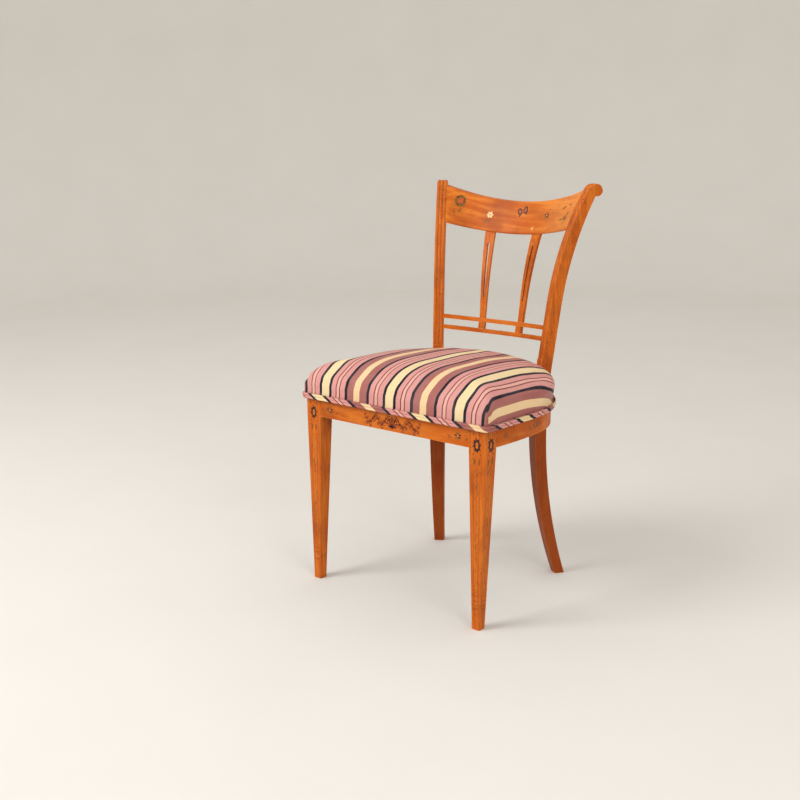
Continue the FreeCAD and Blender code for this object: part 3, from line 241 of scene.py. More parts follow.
def make_grain():
    """Long soft grain with fine pores. Stretch is small along the grain."""
    tree, given, out = new_group(
        "wood_grain",
        [("Stretch", "NodeSocketVector", (1.0, 1.0, 0.08)), ("Density", "NodeSocketFloat", 60.0),
         ("Bands", "NodeSocketFloat", 0.12)],
        [("Tone", "NodeSocketFloat"), ("Pores", "NodeSocketFloat"), ("Height", "NodeSocketFloat")])
    place = scaled(tree, object_place(tree), given["Stretch"])
    broad = blotches(tree, place, given["Density"], 5.0, 1.4)
    rings = put(tree, "ShaderNodeTexWave", {
        "Vector": place, "Scale": given["Density"], "Distortion": 9.0, "Detail": 3.0, "Detail Scale": 0.6},
        wave_type="BANDS", bands_direction="DIAGONAL").outputs["Fac"]
    tone = maths(tree, "MULTIPLY_ADD", maths(tree, "SUBTRACT", rings, 0.5), given["Bands"], broad)
    fine = blotches(tree, place, maths(tree, "MULTIPLY", given["Density"], 16.0), 2.0, 0.2, 0.7)
    pores = between(tree, fine, 0.60, 0.76)
    tree.links.new(tone, out.inputs["Tone"])
    tree.links.new(pores, out.inputs["Pores"])
    tree.links.new(maths(tree, "SUBTRACT", tone, pores), out.inputs["Height"])


def make_edge_wear_and_highlight():
    """Mask of edges for rubbed wear and a painted highlight, broken up by noise."""
    tree, given, out = new_group(
        "edge_wear",
        [("Radius", "NodeSocketFloat", 0.0014), ("Amount", "NodeSocketFloat", 0.5),
         ("Scatter", "NodeSocketFloat", 160.0)],
        [("Mask", "NodeSocketFloat")])
    soft = put(tree, "ShaderNodeBevel", {"Radius": given["Radius"]}, samples=6).outputs["Normal"]
    plain = tree.nodes.new("ShaderNodeNewGeometry").outputs["Normal"]
    match = put(tree, "ShaderNodeVectorMath", {0: soft, 1: plain}, operation="DOT_PRODUCT").outputs["Value"]
    edge = between(tree, maths(tree, "SUBTRACT", 1.0, match), 0.01, 0.12)
    patches = blotches(tree, object_place(tree), given["Scatter"], 4.0)
    limit = maths(tree, "SUBTRACT", 0.8, maths(tree, "MULTIPLY", given["Amount"], 0.5))
    broken = between(tree, patches, maths(tree, "SUBTRACT", limit, 0.12), limit)
    tree.links.new(maths(tree, "MULTIPLY", edge, broken, clamp=True), out.inputs["Mask"])


def make_specks():
    """Small dark flecks, knocked and flyspecked paint."""
    tree, given, out = new_group(
        "flecks",
        [("Density", "NodeSocketFloat", 260.0), ("Amount", "NodeSocketFloat", 0.4),
         ("Stretch", "NodeSocketVector", (1.0, 1.0, 0.5))],
        [("Mask", "NodeSocketFloat")])
    place = scaled(tree, object_place(tree), given["Stretch"])
    cells = put(tree, "ShaderNodeTexVoronoi", {"Vector": place, "Scale": given["Density"]})
    dot = maths(tree, "SUBTRACT", 1.0, between(tree, cells.outputs["Distance"], 0.12, 0.30))
    chosen = put(tree, "ShaderNodeSeparateColor", {"Color": cells.outputs["Color"]}).outputs[0]
    few = between(tree, chosen, maths(tree, "SUBTRACT", 1.0, given["Amount"]), 1.0)
    patches = between(tree, blotches(tree, place, 42.0, 2.0), 0.44, 0.58)
    spots = maths(tree, "MULTIPLY", dot, maths(tree, "GREATER_THAN", few, 0.02))
    tree.links.new(maths(tree, "MULTIPLY", spots, patches), out.inputs["Mask"])


def make_weave():
    """Ribbed weave from two distances on the cloth, in threads."""
    tree, given, out = new_group(
        "weave",
        [("Across", "NodeSocketFloat", 0.0), ("Along", "NodeSocketFloat", 0.0), ("Pitch", "NodeSocketFloat", 1.0)],
        [("Height", "NodeSocketFloat"), ("Tone", "NodeSocketFloat")])
    turns = 2 * math.pi
    a = maths(tree, "SINE", maths(tree, "MULTIPLY", maths(tree, "DIVIDE", given["Across"], given["Pitch"]), turns))
    b = maths(tree, "SINE", maths(tree, "MULTIPLY", maths(tree, "DIVIDE", given["Along"], given["Pitch"]), turns))
    over = maths(tree, "MULTIPLY", a, b)
    height = maths(tree, "MULTIPLY_ADD", over, 0.25, maths(tree, "MULTIPLY_ADD", a, 0.25, 0.5))
    slubs = blotches(tree, object_place(tree), 900.0, 2.0)
    tone = maths(tree, "MULTIPLY_ADD", slubs, 0.5, maths(tree, "MULTIPLY", height, 0.5))
    tree.links.new(height, out.inputs["Height"])
    tree.links.new(tone, out.inputs["Tone"])


def make_stripes(cloth):
    """Colour of the striped fabric at a distance across it, in millimetres from the start of a repeat."""
    tree, given, out = new_group(
        "seat_stripes", [("Across", "NodeSocketFloat", 0.0)],
        [("Color", "NodeSocketColor"), ("Satin", "NodeSocketFloat")])
    width = cloth.repeat / MM
    wander = maths(tree, "MULTIPLY_ADD", blotches(tree, object_place(tree), 700.0, 1.0), 0.8, -0.4)
    turn = maths(tree, "FRACT", maths(tree, "DIVIDE", maths(tree, "ADD", given["Across"], wander), width))
    pink_group = [("pink", 0.0), ("thread", 12.0), ("blush", 14.7), ("thread", 21.6), ("pink", 24.3)]
    bands = [("navy", 0.0), ("mauve", 7.0), ("peach", 24.8), ("mauve", 41.2), ("navy", 60.1)]
    bands += [(name, 67.3 + at) for name, at in pink_group]
    bands += [("navy", 104.2), ("cream", 111.4), ("navy", 131.9)]
    bands += [(name, 138.9 + at) for name, at in pink_group]
    shine = {"mauve": 1.0, "pink": 0.6, "blush": 0.6}
    for label in ("Color", "Satin"):
        ramp = put(tree, "ShaderNodeValToRGB", {"Fac": turn})
        ramp.color_ramp.interpolation = "CONSTANT"
        stops = ramp.color_ramp.elements
        while len(stops) < len(bands):
            stops.new(1.0)
        for stop, (name, at) in zip(stops, bands):
            stop.position = at / width
            stop.color = getattr(cloth, name) if label == "Color" else (shine.get(name, 0.0),) * 3 + (1.0,)
        tree.links.new(ramp.outputs["Color"], out.inputs[label])


def new_material(name):
    material = bpy.data.materials.new(name)
    material.use_nodes = True
    tree = material.node_tree
    return material, tree, tree.nodes["Principled BSDF"]


def bump(tree, height, distance, strength=1.0):
    return put(tree, "ShaderNodeBump", {"Height": height, "Distance": distance, "Strength": strength}).outputs[0]


def coat(tree, mask, amount, under, over):
    """Lays a colour over another one where the mask is, and at most as strongly as the amount."""
    return mixed(tree, maths(tree, "MULTIPLY", mask, amount), under, over)


def wood_material(name, stretch, density, flecks, low_shade=0.0, thin=0.6, rubbed=0.7, pale=0.0):
    """Satin glazed wood: grain, thick and thin glaze, grooves darkened partly as painted shade, edges lightened as
    rubbed wear and painted highlight, flecks, and where asked painted shade below the seat and a painted highlight on
    the right-hand side.
    """
    wood = bpy.context.scene.chair_wood
    material, tree, surface = new_material(name)
    grain = effect(tree, "wood_grain", stretch=stretch, density=density)
    place = object_place(tree)
    patches = blotches(tree, place, 14.0, 3.0, 0.4)
    base = coat(tree, between(tree, grain["Tone"], 0.36, 0.70), thin, wood.glaze, wood.glaze_light)
    base = coat(tree, between(tree, patches, 0.44, 0.72), 0.45, base, wood.glaze_dark_and_shade)
    base = coat(tree, grain["Pores"], 0.5, base, wood.glaze_dark_and_shade)
    # Painted shade: below the seat the posts are darkened towards the dark glaze, where the seat shades them.
    if low_shade:
        height = put(tree, "ShaderNodeSeparateXYZ", {"Vector": place}).outputs["Z"]
        below = maths(tree, "SUBTRACT", 1.0, between(tree, height, 0.30, 0.50))
        base = coat(tree, below, low_shade, base, wood.glaze_dark_and_shade)
    # Painted highlight: the right-hand part is lightened with the worn colour, where a sheen of light lies on the
    # crest.
    if pale:
        side = put(tree, "ShaderNodeSeparateXYZ", {"Vector": place}).outputs["X"]
        base = coat(tree, between(tree, side, 0.03, 0.14), pale, base, wood.worn)
    # Darker in grooves, hollows and joints by ambient occlusion: partly painted shade, partly dark wax lying there.
    hollow = put(tree, "ShaderNodeAmbientOcclusion", {"Distance": 0.004}, samples=6, only_local=True).outputs["AO"]
    groove_shade_and_wax = maths(tree, "SUBTRACT", 1.0, between(tree, hollow, 0.35, 0.85))
    base = coat(tree, groove_shade_and_wax, 0.85, base, wood.grime_and_shade)
    # Edges lightened with the worn colour: partly rubbed wear, partly a painted highlight along them.
    worn = effect(tree, "edge_wear", radius=0.0016, amount=wood.wear * rubbed / 0.7)["Mask"]
    base = coat(tree, worn, rubbed, base, wood.worn)
    speck_stretch = tuple(0.45 if factor < 0.5 else 1.0 for factor in stretch)
    spots = effect(tree, "flecks", density=270.0, amount=flecks, stretch=speck_stretch)["Mask"]
    base = coat(tree, spots, 0.8, base, wood.grime_and_shade)
    tree.links.new(base, surface.inputs["Base Color"])
    rough = maths(tree, "MULTIPLY_ADD", blotches(tree, place, 90.0, 3.0), 0.22, 0.36)
    tree.links.new(maths(tree, "ADD", rough, maths(tree, "MULTIPLY", worn, 0.1)), surface.inputs["Roughness"])
    surface.inputs["Specular IOR Level"].default_value = 0.15
    surface.inputs["Coat Weight"].default_value = 0.04
    surface.inputs["Coat Roughness"].default_value = 0.3
    tree.links.new(bump(tree, grain["Height"], 0.00012, 0.6), surface.inputs["Normal"])
    return material


def paint_material(name, tint):
    """Thin worn paint: in places the glaze shows through."""
    wood = bpy.context.scene.chair_wood
    material, tree, surface = new_material(name)
    place = object_place(tree)
    gone = between(tree, blotches(tree, place, 420.0, 3.0), 0.52, 0.66)
    base = coat(tree, gone, 0.4, tint, wood.glaze)
    strokes = blotches(tree, scaled(tree, place, (1.0, 1.0, 0.3)), 900.0, 2.0)
    base = coat(tree, strokes, 0.25, base, wood.grime_and_shade)
    tree.links.new(base, surface.inputs["Base Color"])
    tree.links.new(maths(tree, "MULTIPLY_ADD", strokes, 0.25, 0.34), surface.inputs["Roughness"])
    surface.inputs["Specular IOR Level"].default_value = 0.3
    tree.links.new(bump(tree, strokes, 0.00005), surface.inputs["Normal"])
    return material


def fabric_material(name, across, along, pitch, sheen=0.015):
    """Striped ribbed fabric. across and along make their sockets in the material's tree, in millimetres."""
    material, tree, surface = new_material(name)
    u, v = across(tree), along(tree)
    stripes = effect(tree, "seat_stripes", across=u)
    weave = effect(tree, "weave", across=v, along=u, pitch=pitch / MM)
    shaded = mixed(
        tree, maths(tree, "MULTIPLY", weave["Tone"], 0.30), stripes["Color"], (0.30, 0.17, 0.15, 1.0), "MULTIPLY")
    faded = between(tree, blotches(tree, object_place(tree), 26.0, 2.0), 0.35, 0.75)
    shaded = coat(tree, faded, 0.04, shaded, (1.0, 0.90, 0.84, 1.0))
    tree.links.new(shaded, surface.inputs["Base Color"])
    dull = maths(tree, "MULTIPLY_ADD", weave["Tone"], 0.15, 0.66)
    tree.links.new(
        maths(tree, "SUBTRACT", dull, maths(tree, "MULTIPLY", stripes["Satin"], 0.30)), surface.inputs["Roughness"])
    surface.inputs["Sheen Weight"].default_value = sheen
    surface.inputs["Sheen Roughness"].default_value = 0.45
    surface.inputs["Specular IOR Level"].default_value = 0.28
    tree.links.new(bump(tree, weave["Height"], 0.00022, 0.7), surface.inputs["Normal"])
    return material


def cloth_material(name, tint, line, pitch, depth, roughness=0.85):
    """Plain woven cloth on the row frame's own X and Y, with a darker thread colour."""
    material, tree, surface = new_material(name)
    split = put(tree, "ShaderNodeSeparateXYZ", {"Vector": object_place(tree)}).outputs
    u = maths(tree, "DIVIDE", split["X"], MM)
    v = maths(tree, "DIVIDE", split["Y"], MM)
    weave = effect(tree, "weave", across=u, along=v, pitch=pitch)
    base = mixed(tree, weave["Tone"], line, tint)
    tree.links.new(base, surface.inputs["Base Color"])
    tree.links.new(maths(tree, "MULTIPLY_ADD", weave["Tone"], 0.1, roughness - 0.05), surface.inputs["Roughness"])
    tree.links.new(bump(tree, weave["Height"], depth), surface.inputs["Normal"])
    return material


def metal_material(name, tint):
    material, tree, surface = new_material(name)
    place = object_place(tree)
    rust = between(tree, blotches(tree, place, 500.0, 3.0), 0.50, 0.72)
    tree.links.new(coat(tree, rust, 0.5, tint, (0.16, 0.09, 0.05, 1.0)), surface.inputs["Base Color"])
    tree.links.new(maths(tree, "SUBTRACT", 1.0, maths(tree, "MULTIPLY", rust, 0.4)), surface.inputs["Metallic"])
    tree.links.new(maths(tree, "MULTIPLY_ADD", rust, 0.3, 0.36), surface.inputs["Roughness"])
    tree.links.new(bump(tree, rust, 0.00005), surface.inputs["Normal"])
    return material


def bare_wood_material():
    wood = bpy.context.scene.chair_wood
    material, tree, surface = new_material("sawn_wood")
    grain = effect(tree, "wood_grain", stretch=(0.1, 1.0, 1.0), density=90.0)
    base = mixed(tree, grain["Tone"], wood.bare, (0.30, 0.19, 0.10, 1.0))
    tree.links.new(base, surface.inputs["Base Color"])
    tree.links.new(maths(tree, "MULTIPLY_ADD", grain["Tone"], 0.2, 0.65), surface.inputs["Roughness"])
    tree.links.new(bump(tree, grain["Height"], 0.0003), surface.inputs["Normal"])
    return material


def dress(node, material):
    """Gives a CAD node its finish. Its shape stays as it is."""
    mesh = NODES[node].data
    mesh.materials.clear()
    mesh.materials.append(material)


# Meshes

def new_piece(name, points, faces, material):
    mesh = bpy.data.meshes.new(name)
    mesh.from_pydata([tuple(p) for p in points], [], faces)
    mesh.validate()
    mesh.update()
    piece = bpy.data.objects.new(name, mesh)
    bpy.context.scene.collection.objects.link(piece)
    for each in material if isinstance(material, (list, tuple)) else [material]:
        mesh.materials.append(each)
    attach(piece, "root")
    return piece


def smooth(piece):
    for face in piece.data.polygons:
        face.use_smooth = True


def finished_mesh(piece):
    """The piece's mesh with its modifiers applied, as a new mesh; the modifiers are removed."""
    graph = bpy.context.evaluated_depsgraph_get()
    graph.update()
    mesh = bpy.data.meshes.new_from_object(piece.evaluated_get(graph))
    piece.modifiers.clear()
    old = piece.data
    piece.data = mesh
    bpy.data.meshes.remove(old)
    return mesh


def positions(mesh):
    flat = np.zeros(len(mesh.vertices) * 3)
    mesh.vertices.foreach_get("co", flat)
    return flat.reshape(-1, 3)


def set_positions(mesh, points):
    mesh.vertices.foreach_set("co", np.asarray(points, float).ravel())
    mesh.update()


def set_numbers(mesh, name, values):
    layer = mesh.attributes.get(name) or mesh.attributes.new(name, "FLOAT", "POINT")
    layer.data.foreach_set("value", np.asarray(values, np.float32))


def halved(mesh):
    """Distance from the middle plane, depth and height in millimetres, and the side, of each point."""
    x, y, z = (positions(mesh) / MM).T
    return np.abs(x), y, z, np.where(x < 0, -1.0, 1.0)


def set_halved(mesh, x, y, z, way):
    set_positions(mesh, np.stack([way * x, y, z], axis=1) * MM)


def ring_faces(rings, count, start=0, flip=False):
    """Faces between rings that follow each other, each of count points."""
    faces = []
    for low in range(start, start + (rings - 1) * count, count):
        high = low + count
        for k in range(count):
            after = (k + 1) % count
            if flip:
                faces.append((low + k, high + k, high + after, low + after))
            else:
                faces.append((low + k, low + after, high + after, high + k))
    return faces


def distances(points):
    """Length along a line of points, from its start to each of them."""
    return np.concatenate([[0.0], np.cumsum(np.linalg.norm(np.diff(points, axis=0), axis=1))])


# Plan of the seat in millimetres: the same front line, bowed sides, rear corners and back arc as the rails

WIDEST_BACK = 108.0  # from the front line back to where the sides are widest
CENTRE_BACK = 112.0  # from the front line back to the centre of the back's arc
POST_TURN = 33.1     # degrees from the middle line to a rear post, seen from that centre
POST_OUT = 23.5      # how much further than the front legs the rear posts stand from it
POST_ASIDE = 18.5    # from a rear post's middle to the edge that faces the side rail


def bowed_plan():
    """Centres and radii of the seat's outline, read from the size of the frame."""
    low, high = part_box("front_leg_right")
    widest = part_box("seat_rail_right")[1].x / MM
    front = low.y / MM
    near = high.x / MM + 1.0
    rise = widest - near
    bow = (rise * rise + WIDEST_BACK * WIDEST_BACK) / (2 * rise)
    bow_at = np.array([widest - bow, front + WIDEST_BACK])
    centre = np.array([0.0, front + CENTRE_BACK])
    turn = math.radians(POST_TURN)
    out = np.array([math.sin(turn), math.cos(turn)])
    across = np.array([math.cos(turn), -math.sin(turn)])
    reach = centre + out * (near + POST_OUT) + across * POST_ASIDE
    span = reach - centre
    back = float(np.linalg.norm(span))
    away = span / back
    chord = reach - bow_at
    corner = (bow * bow - chord @ chord) / (2 * (bow - chord @ away))
    corner_at = reach - away * corner
    return {
        "front": front, "bow_at": bow_at, "bow": bow, "corner_at": corner_at, "corner": corner,
        "centre": centre, "back": back, "reach": reach, "turn": turn, "near": near}


PLAN = bowed_plan()


def arc_points(centre, radius, start, end, count):
    angles = np.linspace(start, end, count)
    return np.stack([centre[0] + radius * np.cos(angles), centre[1] + radius * np.sin(angles)], axis=1)


def half_outline(offset, corner_radius, front_offset, counts, swell=0.0):
    """Right half of the seat's outline, from the middle of the front to the middle of the back."""
    front = PLAN["front"] - front_offset
    bow_at, bow = PLAN["bow_at"], PLAN["bow"]
    turn_y = front + corner_radius
    reach = bow + offset + swell - corner_radius
    turn_x = bow_at[0] + math.sqrt(reach * reach - (turn_y - bow_at[1]) ** 2)
    bow_from = math.atan2(turn_y - bow_at[1], turn_x - bow_at[0])
    corner_at, corner = PLAN["corner_at"], PLAN["corner"]
    bow_to = math.atan2(corner_at[1] - bow_at[1], corner_at[0] - bow_at[0])
    reach_at, centre = PLAN["reach"], PLAN["centre"]
    back_from = math.atan2(reach_at[1] - centre[1], reach_at[0] - centre[0])
    line_x = np.linspace(0, turn_x, counts[0])
    parts = [
        np.stack([line_x, np.full(counts[0], front)], axis=1),
        arc_points((turn_x, turn_y), corner_radius, -math.pi / 2, bow_from, counts[1])[1:],
        arc_points(bow_at, bow + offset + swell, bow_from, bow_to, counts[2])[1:],
        arc_points(corner_at, corner + offset + swell, bow_to, back_from, counts[3])[1:],
        arc_points(centre, PLAN["back"] + offset + swell, back_from, math.pi / 2, counts[4])[1:],
    ]
    return np.concatenate(parts)


def whole_outline(*values, **words):
    """Closed outline, right half and then the left half on the way back to the front."""
    right = half_outline(*values, **words)
    left = right[1:-1][::-1] * np.array([-1.0, 1.0])
    return np.concatenate([right, left])


def side_edge(y):
    """Half width of the seat's outline at a depth, in millimetres."""
    y = np.asarray(y, float)
    bow = PLAN["bow_at"][0] + np.sqrt(np.maximum(PLAN["bow"] ** 2 - (y - PLAN["bow_at"][1]) ** 2, 0))
    room = np.maximum(PLAN["corner"] ** 2 - (y - PLAN["corner_at"][1]) ** 2, 0)
    corner = PLAN["corner_at"][0] + np.sqrt(room)
    return np.where(y < PLAN["corner_at"][1] + 5.0, bow, corner)


def post_place(points):
    """Distance out from the back centre and sideways from a rear post's middle plane, in millimetres."""
    x, y = np.abs(points[:, 0]), points[:, 1] - PLAN["centre"][1]
    s, c = math.sin(PLAN["turn"]), math.cos(PLAN["turn"])
    return x * s + y * c, x * c - y * s


# Stuffed seat, in millimetres
WELT_LOW = 403.5     # height of the welt's lower edge
WELT_HIGH = 417.5    # height of the welt's upper edge
EDGE_HEIGHT = 455.0  # height at which the cover's side turns over into the crown
OVERHANG = 3.2       # how far the cover stands out from the frame's outline
BULGE = 6.0          # how far it swells out from there, above the welt
FRONT_BULGE = 0.3    # share of that swell that the front has
SKIRT = 2.4          # how far the cover's lower part is held out from legs and rails
SHRINK = 0.45        # share of the padding's swell by which the cushion starts smaller
CROWN_SIDES = 172.0  # how far the sides run in on their way up to the crown
CROWN_FRONT = 125.0  # how far the front runs in on its way up to the crown
CORNER = 7.0         # radius of the front corners at the welt
CORNER_MORE = 40.0   # how much larger that radius is at the crown

# Heights between which the cushion's shape or cloth changes, in millimetres
COVER_SLIMS = (424.0, 440.0)
COVER_HELD = (412.0, 462.0)
EDGE_ROUNDED = (436.0, 452.0)
CROWN_SHAPED = (452.0, 468.0)
SKIRT_GIVES = (438.0, 462.0)
FOLD_CLOSES = (428.0, 444.0)
TOP_SHIFTS = (425.0, 470.0)


def ease(value, low, high):
    """0 below low, 1 above high, with a soft start and end."""
    part = np.clip((np.asarray(value, float) - low) / (high - low), 0, 1)
    return part * part * (3 - 2 * part)


def cushion_rings(top, smaller):
    """Rings of the stuffed seat from under the welt to its crown, in millimetres."""
    rings = []
    counts = (34, 6, 26, 22, 34)
    edge = EDGE_HEIGHT - smaller
    for height in np.linspace(WELT_LOW + 2.0, edge, 9):
        lift = max(height - WELT_HIGH, 0) / (edge - WELT_HIGH)
        swell = BULGE * math.sin(math.pi / 2 * min(lift, 1)) ** 2
        out = OVERHANG - smaller * float(ease(height, *COVER_SLIMS))
        rings.append((whole_outline(out, CORNER, out + FRONT_BULGE * swell, counts, swell=swell), height))
    rise = top - smaller - edge
    steps = 16
    for step in range(1, steps + 1):
        angle = math.pi / 2 * step / steps
        inset = 1 - math.cos(angle)
        front_inset = (inset + step / steps) / 2
        outline = whole_outline(
            OVERHANG - smaller - CROWN_SIDES * inset, CORNER + CORNER_MORE * inset,
            OVERHANG - smaller + FRONT_BULGE * BULGE - CROWN_FRONT * front_inset, counts, swell=BULGE)
        rings.append((outline, edge + rise * math.sin(angle)))
    return rings


def ring_solid(rings):
    """Closed mesh through rings of the same number of points, with a flat bottom and a closed top."""
    count = len(rings[0][0])
    points = [(x, y, height) for outline, height in rings for x, y in outline]
    faces = ring_faces(len(rings), count)
    for ring, step in ((0, -1), (len(rings) - 1, 1)):
        outline, height = rings[ring]
        middle = len(points)
        points.append((0.0, float(np.mean(outline[:, 1])), height))
        for place in range(count):
            pair = (ring * count + place, ring * count + (place + 1) % count)
            faces.append((middle, *pair[::step]))
    return np.array(points) * MM, faces


# A rear post where it passes the cushion: height, distance of its front from the back centre, half width
POST_SECTIONS = (
    (385.0, 240.2, 18.5), (420.0, 244.4, 18.5), (432.0, 246.0, 17.0), (440.0, 247.1, 14.5), (450.0, 248.5, 11.8),
    (453.0, 249.0, 11.3), (480.0, 252.9, 11.3), (520.0, 258.6, 11.3))
TIGHT = 0.35


def post_room():
    """Room for both rear posts, as one mesh of two closed shells."""
    s, c = math.sin(PLAN["turn"]), math.cos(PLAN["turn"])
    points, faces = [], []
    for way in (1, -1):
        start = len(points)
        for z, near, half in POST_SECTIONS:
            front, side = near - TIGHT, half + TIGHT
            for u, v in ((front, -side), (front + 60, -side), (front + 60, side), (front, side)):
                points.append((way * (u * s + v * c) * MM, (PLAN["centre"][1] + u * c - v * s) * MM, z * MM))
        last = len(points) - 4
        shell = [tuple(range(start, start + 4)), *ring_faces(len(POST_SECTIONS), 4, start, flip=True),
                 tuple(range(last + 3, last - 1, -1))]
        faces += [face[::way] for face in shell]
    return points, faces


def frame_room():
    """Room for the legs, the rails and the deck under the cushion."""
    rings = [(whole_outline(0.2, 1.2, 0.3, (34, 4, 26, 22, 34)), z) for z in (390.0, 429.55)]
    return ring_solid(rings)


def cut_out(piece, name, points, faces):
    mesh = bpy.data.meshes.new(name)
    mesh.from_pydata([tuple(p) for p in points], [], faces)
    cutter = bpy.data.objects.new(name, mesh)
    bpy.context.scene.collection.objects.link(cutter)
    change = piece.modifiers.new(name, "BOOLEAN")
    change.object = cutter
    change.operation = "DIFFERENCE"
    change.solver = "EXACT"
    finished_mesh(piece)
    bpy.data.objects.remove(cutter)


def swell_cushion(piece, cap):
    """Stuffing: the cover is blown up by a little pressure while its lower edge is held."""
    mesh = piece.data
    start = positions(mesh)
    mm = start / MM
    held = mm[:, 2] < WELT_HIGH
    group = piece.vertex_groups.new(name="held")
    group.add([int(i) for i in np.nonzero(held)[0]], 1.0, "REPLACE")
    cloth = piece.modifiers.new("stuffing", "CLOTH")
    settings = cloth.settings
    settings.quality = 5
    settings.mass = 0.3
    settings.vertex_group_mass = "held"
    settings.use_pressure = True
    settings.uniform_pressure_force = 4.0
    settings.effector_weights.gravity = 0.0
    settings.tension_stiffness = 15.0
    settings.compression_stiffness = 15.0
    settings.bending_stiffness = 0.6
    cloth.collision_settings.use_collision = False
    scene = bpy.context.scene
    for moment in range(1, 21):
        scene.frame_set(moment)
    graph = bpy.context.evaluated_depsgraph_get()
    blown = piece.evaluated_get(graph).to_mesh()
    moved = positions(blown) - start
    piece.evaluated_get(graph).to_mesh_clear()
    piece.modifiers.clear()
    piece.vertex_groups.clear()
    scene.frame_set(1)
    far = np.linalg.norm(moved, axis=1)
    far[far < 1e-9] = 1e-9
    moved *= np.minimum(1.0, cap / far)[:, None]
    moved = evened(mesh, moved, 6)
    moved[held] = 0.0
    set_positions(mesh, start + moved)


def evened(mesh, values, rounds):
    """Averages a value of each vertex with its neighbours."""
    edges = np.zeros(len(mesh.edges) * 2, int)
    mesh.edges.foreach_get("vertices", edges)
    a, b = edges.reshape(-1, 2).T
    count = np.bincount(np.concatenate([a, b]), minlength=len(values))[:, None]
    for _ in range(rounds):
        total = np.zeros_like(values)
        np.add.at(total, a, values[b])
        np.add.at(total, b, values[a])
        values = 0.5 * values + 0.5 * total / np.maximum(count, 1)
    return values


def round_over(mesh):
    """Rounds the cushion's upper edges, as stuffing does."""
    start = positions(mesh)
    even = evened(mesh, start, 7)
    above = ease(start[:, 2] / MM, *EDGE_ROUNDED)
    set_positions(mesh, start + (even - start) * above[:, None])


def fill_sides(mesh):
    """Fuller sides and crown towards the back, and slimmer front corners."""
    x, y, z, way = halved(mesh)
    edge = side_edge(y)
    beside = ease(x, edge - 60.0, edge) * ease(y, -150.0, -30.0) * (1 - ease(y, 95.0, 135.0))
    fuller = 4.5 * beside * ease(z, 418.0, 436.0) * (1 - ease(z, 455.0, 485.0))
    slimmer = 3.5 * ease(x, 215.0, 240.0) * (1 - ease(y, -215.0, -150.0)) * ease(z, 418.0, 430.0)
    shoulder = ease(x, 150.0, 205.0) * ease(y, -190.0, -130.0) * (1 - ease(y, -20.0, 40.0))
    rise = ease(z, *CROWN_SHAPED) * (4.5 * ease(y, 40.0, 110.0) - 3.5 * shoulder)
    set_halved(mesh, x + fuller - slimmer, y, z + rise, way)


def hold_skirt_out(mesh):
    """Keeps the cover's lower part outside the legs and rails that it hangs over."""
    x, y, z, way = halved(mesh)
    near = 9.0  # millimetres inside the frame's outline from which a point is held
    give = 30.0 * ease(z, *SKIRT_GIVES)
    low = (z > COVER_HELD[0]) & (z < COVER_HELD[1])
    middle = PLAN["centre"][1]
    front = low & (y < PLAN["front"] + near)
    y = np.where(front, np.minimum(y, PLAN["front"] - SKIRT + give), y)
    turn = np.arctan2(x, y - middle)
    side = low & (x > side_edge(y) - near) & (turn > PLAN["turn"])
    x = np.where(side, np.maximum(x, side_edge(y) + SKIRT - give), x)
    radius = np.hypot(x, y - middle)
    back = low & (radius > PLAN["back"] - near) & (turn <= PLAN["turn"])
    grow = np.where(back, np.maximum(radius, PLAN["back"] + SKIRT - give) / radius, 1.0)
    set_halved(mesh, x * grow, middle + (y - middle) * grow, z, way)


def corner_fold(x, y):
    """Side edge of the cushion, and how far a point lies to the front of the fold at its front corner."""
    edge = side_edge(y) + OVERHANG + BULGE
    return edge, (edge - x) - (y - (PLAN["front"] - OVERHANG))


def inside_outline(x, y):
    """How far each point lies inside the cushion's outline, and how far sideways the outline faces there."""
    outline = half_outline(OVERHANG + BULGE, 8.0, OVERHANG, (60, 9, 60, 60, 60))
    along = np.gradient(outline, axis=0)
    along /= np.linalg.norm(along, axis=1)[:, None]
    apart = np.hypot(x[:, None] - outline[None, :, 0], y[:, None] - outline[None, :, 1])
    nearest = np.argmin(apart, axis=1)
    out = np.stack([along[nearest, 1], -along[nearest, 0]], axis=1)
    gap = outline[nearest] - np.stack([x, y], axis=1)
    return (gap * out).sum(axis=1), out[:, 0]


def cloth_places(mesh):
    """Where each point of the cover lies on the flat fabric: across and along the stripes, and the corner fold."""
    x, y, z, way = halved(mesh)
    front = PLAN["front"]
    edge, fold = corner_fold(x, y)
    outer = np.clip(x / 240.0, 0, 1)
    high = ease(z, *TOP_SHIFTS)
    over_top = x - 5.0 * outer ** 4 * high + 2.5 * outer ** 14 * (1 - high) * (y < front + 40)
    down_side = edge + 451.0 - z - 6.0 * ease(y, -120.0, -20.0) - 7.0 * (1 - ease(y, front, front + 36))
    turn = np.arctan2(x, y - PLAN["centre"][1])
    beside = ease(x, edge - 32.0, edge - 6.0) * (turn > PLAN["turn"])
    across = over_top + (down_side - over_top) * beside
    round_corner = ease(z, *FOLD_CLOSES) * (1 - ease(-fold, 0.0, 14.0)) * (y < front + 60)
    across += (over_top - across) * round_corner
    inside, sideways = inside_outline(x, y)
    round_back = over_top + sideways * ease(-inside, -32.0, -6.0) * (inside + 445.0 - z)
    across += (round_back - across) * ease(y, -40.0, 0.0)
    along = y + np.where(y < front + 20, -(EDGE_HEIGHT - np.minimum(z, EDGE_HEIGHT)), 0.0)
    set_numbers(mesh, "across_top", way * over_top)
    set_numbers(mesh, "across_side", way * across)
    set_numbers(mesh, "corner_fold", fold)
    set_numbers(mesh, "along_cloth", along + z)


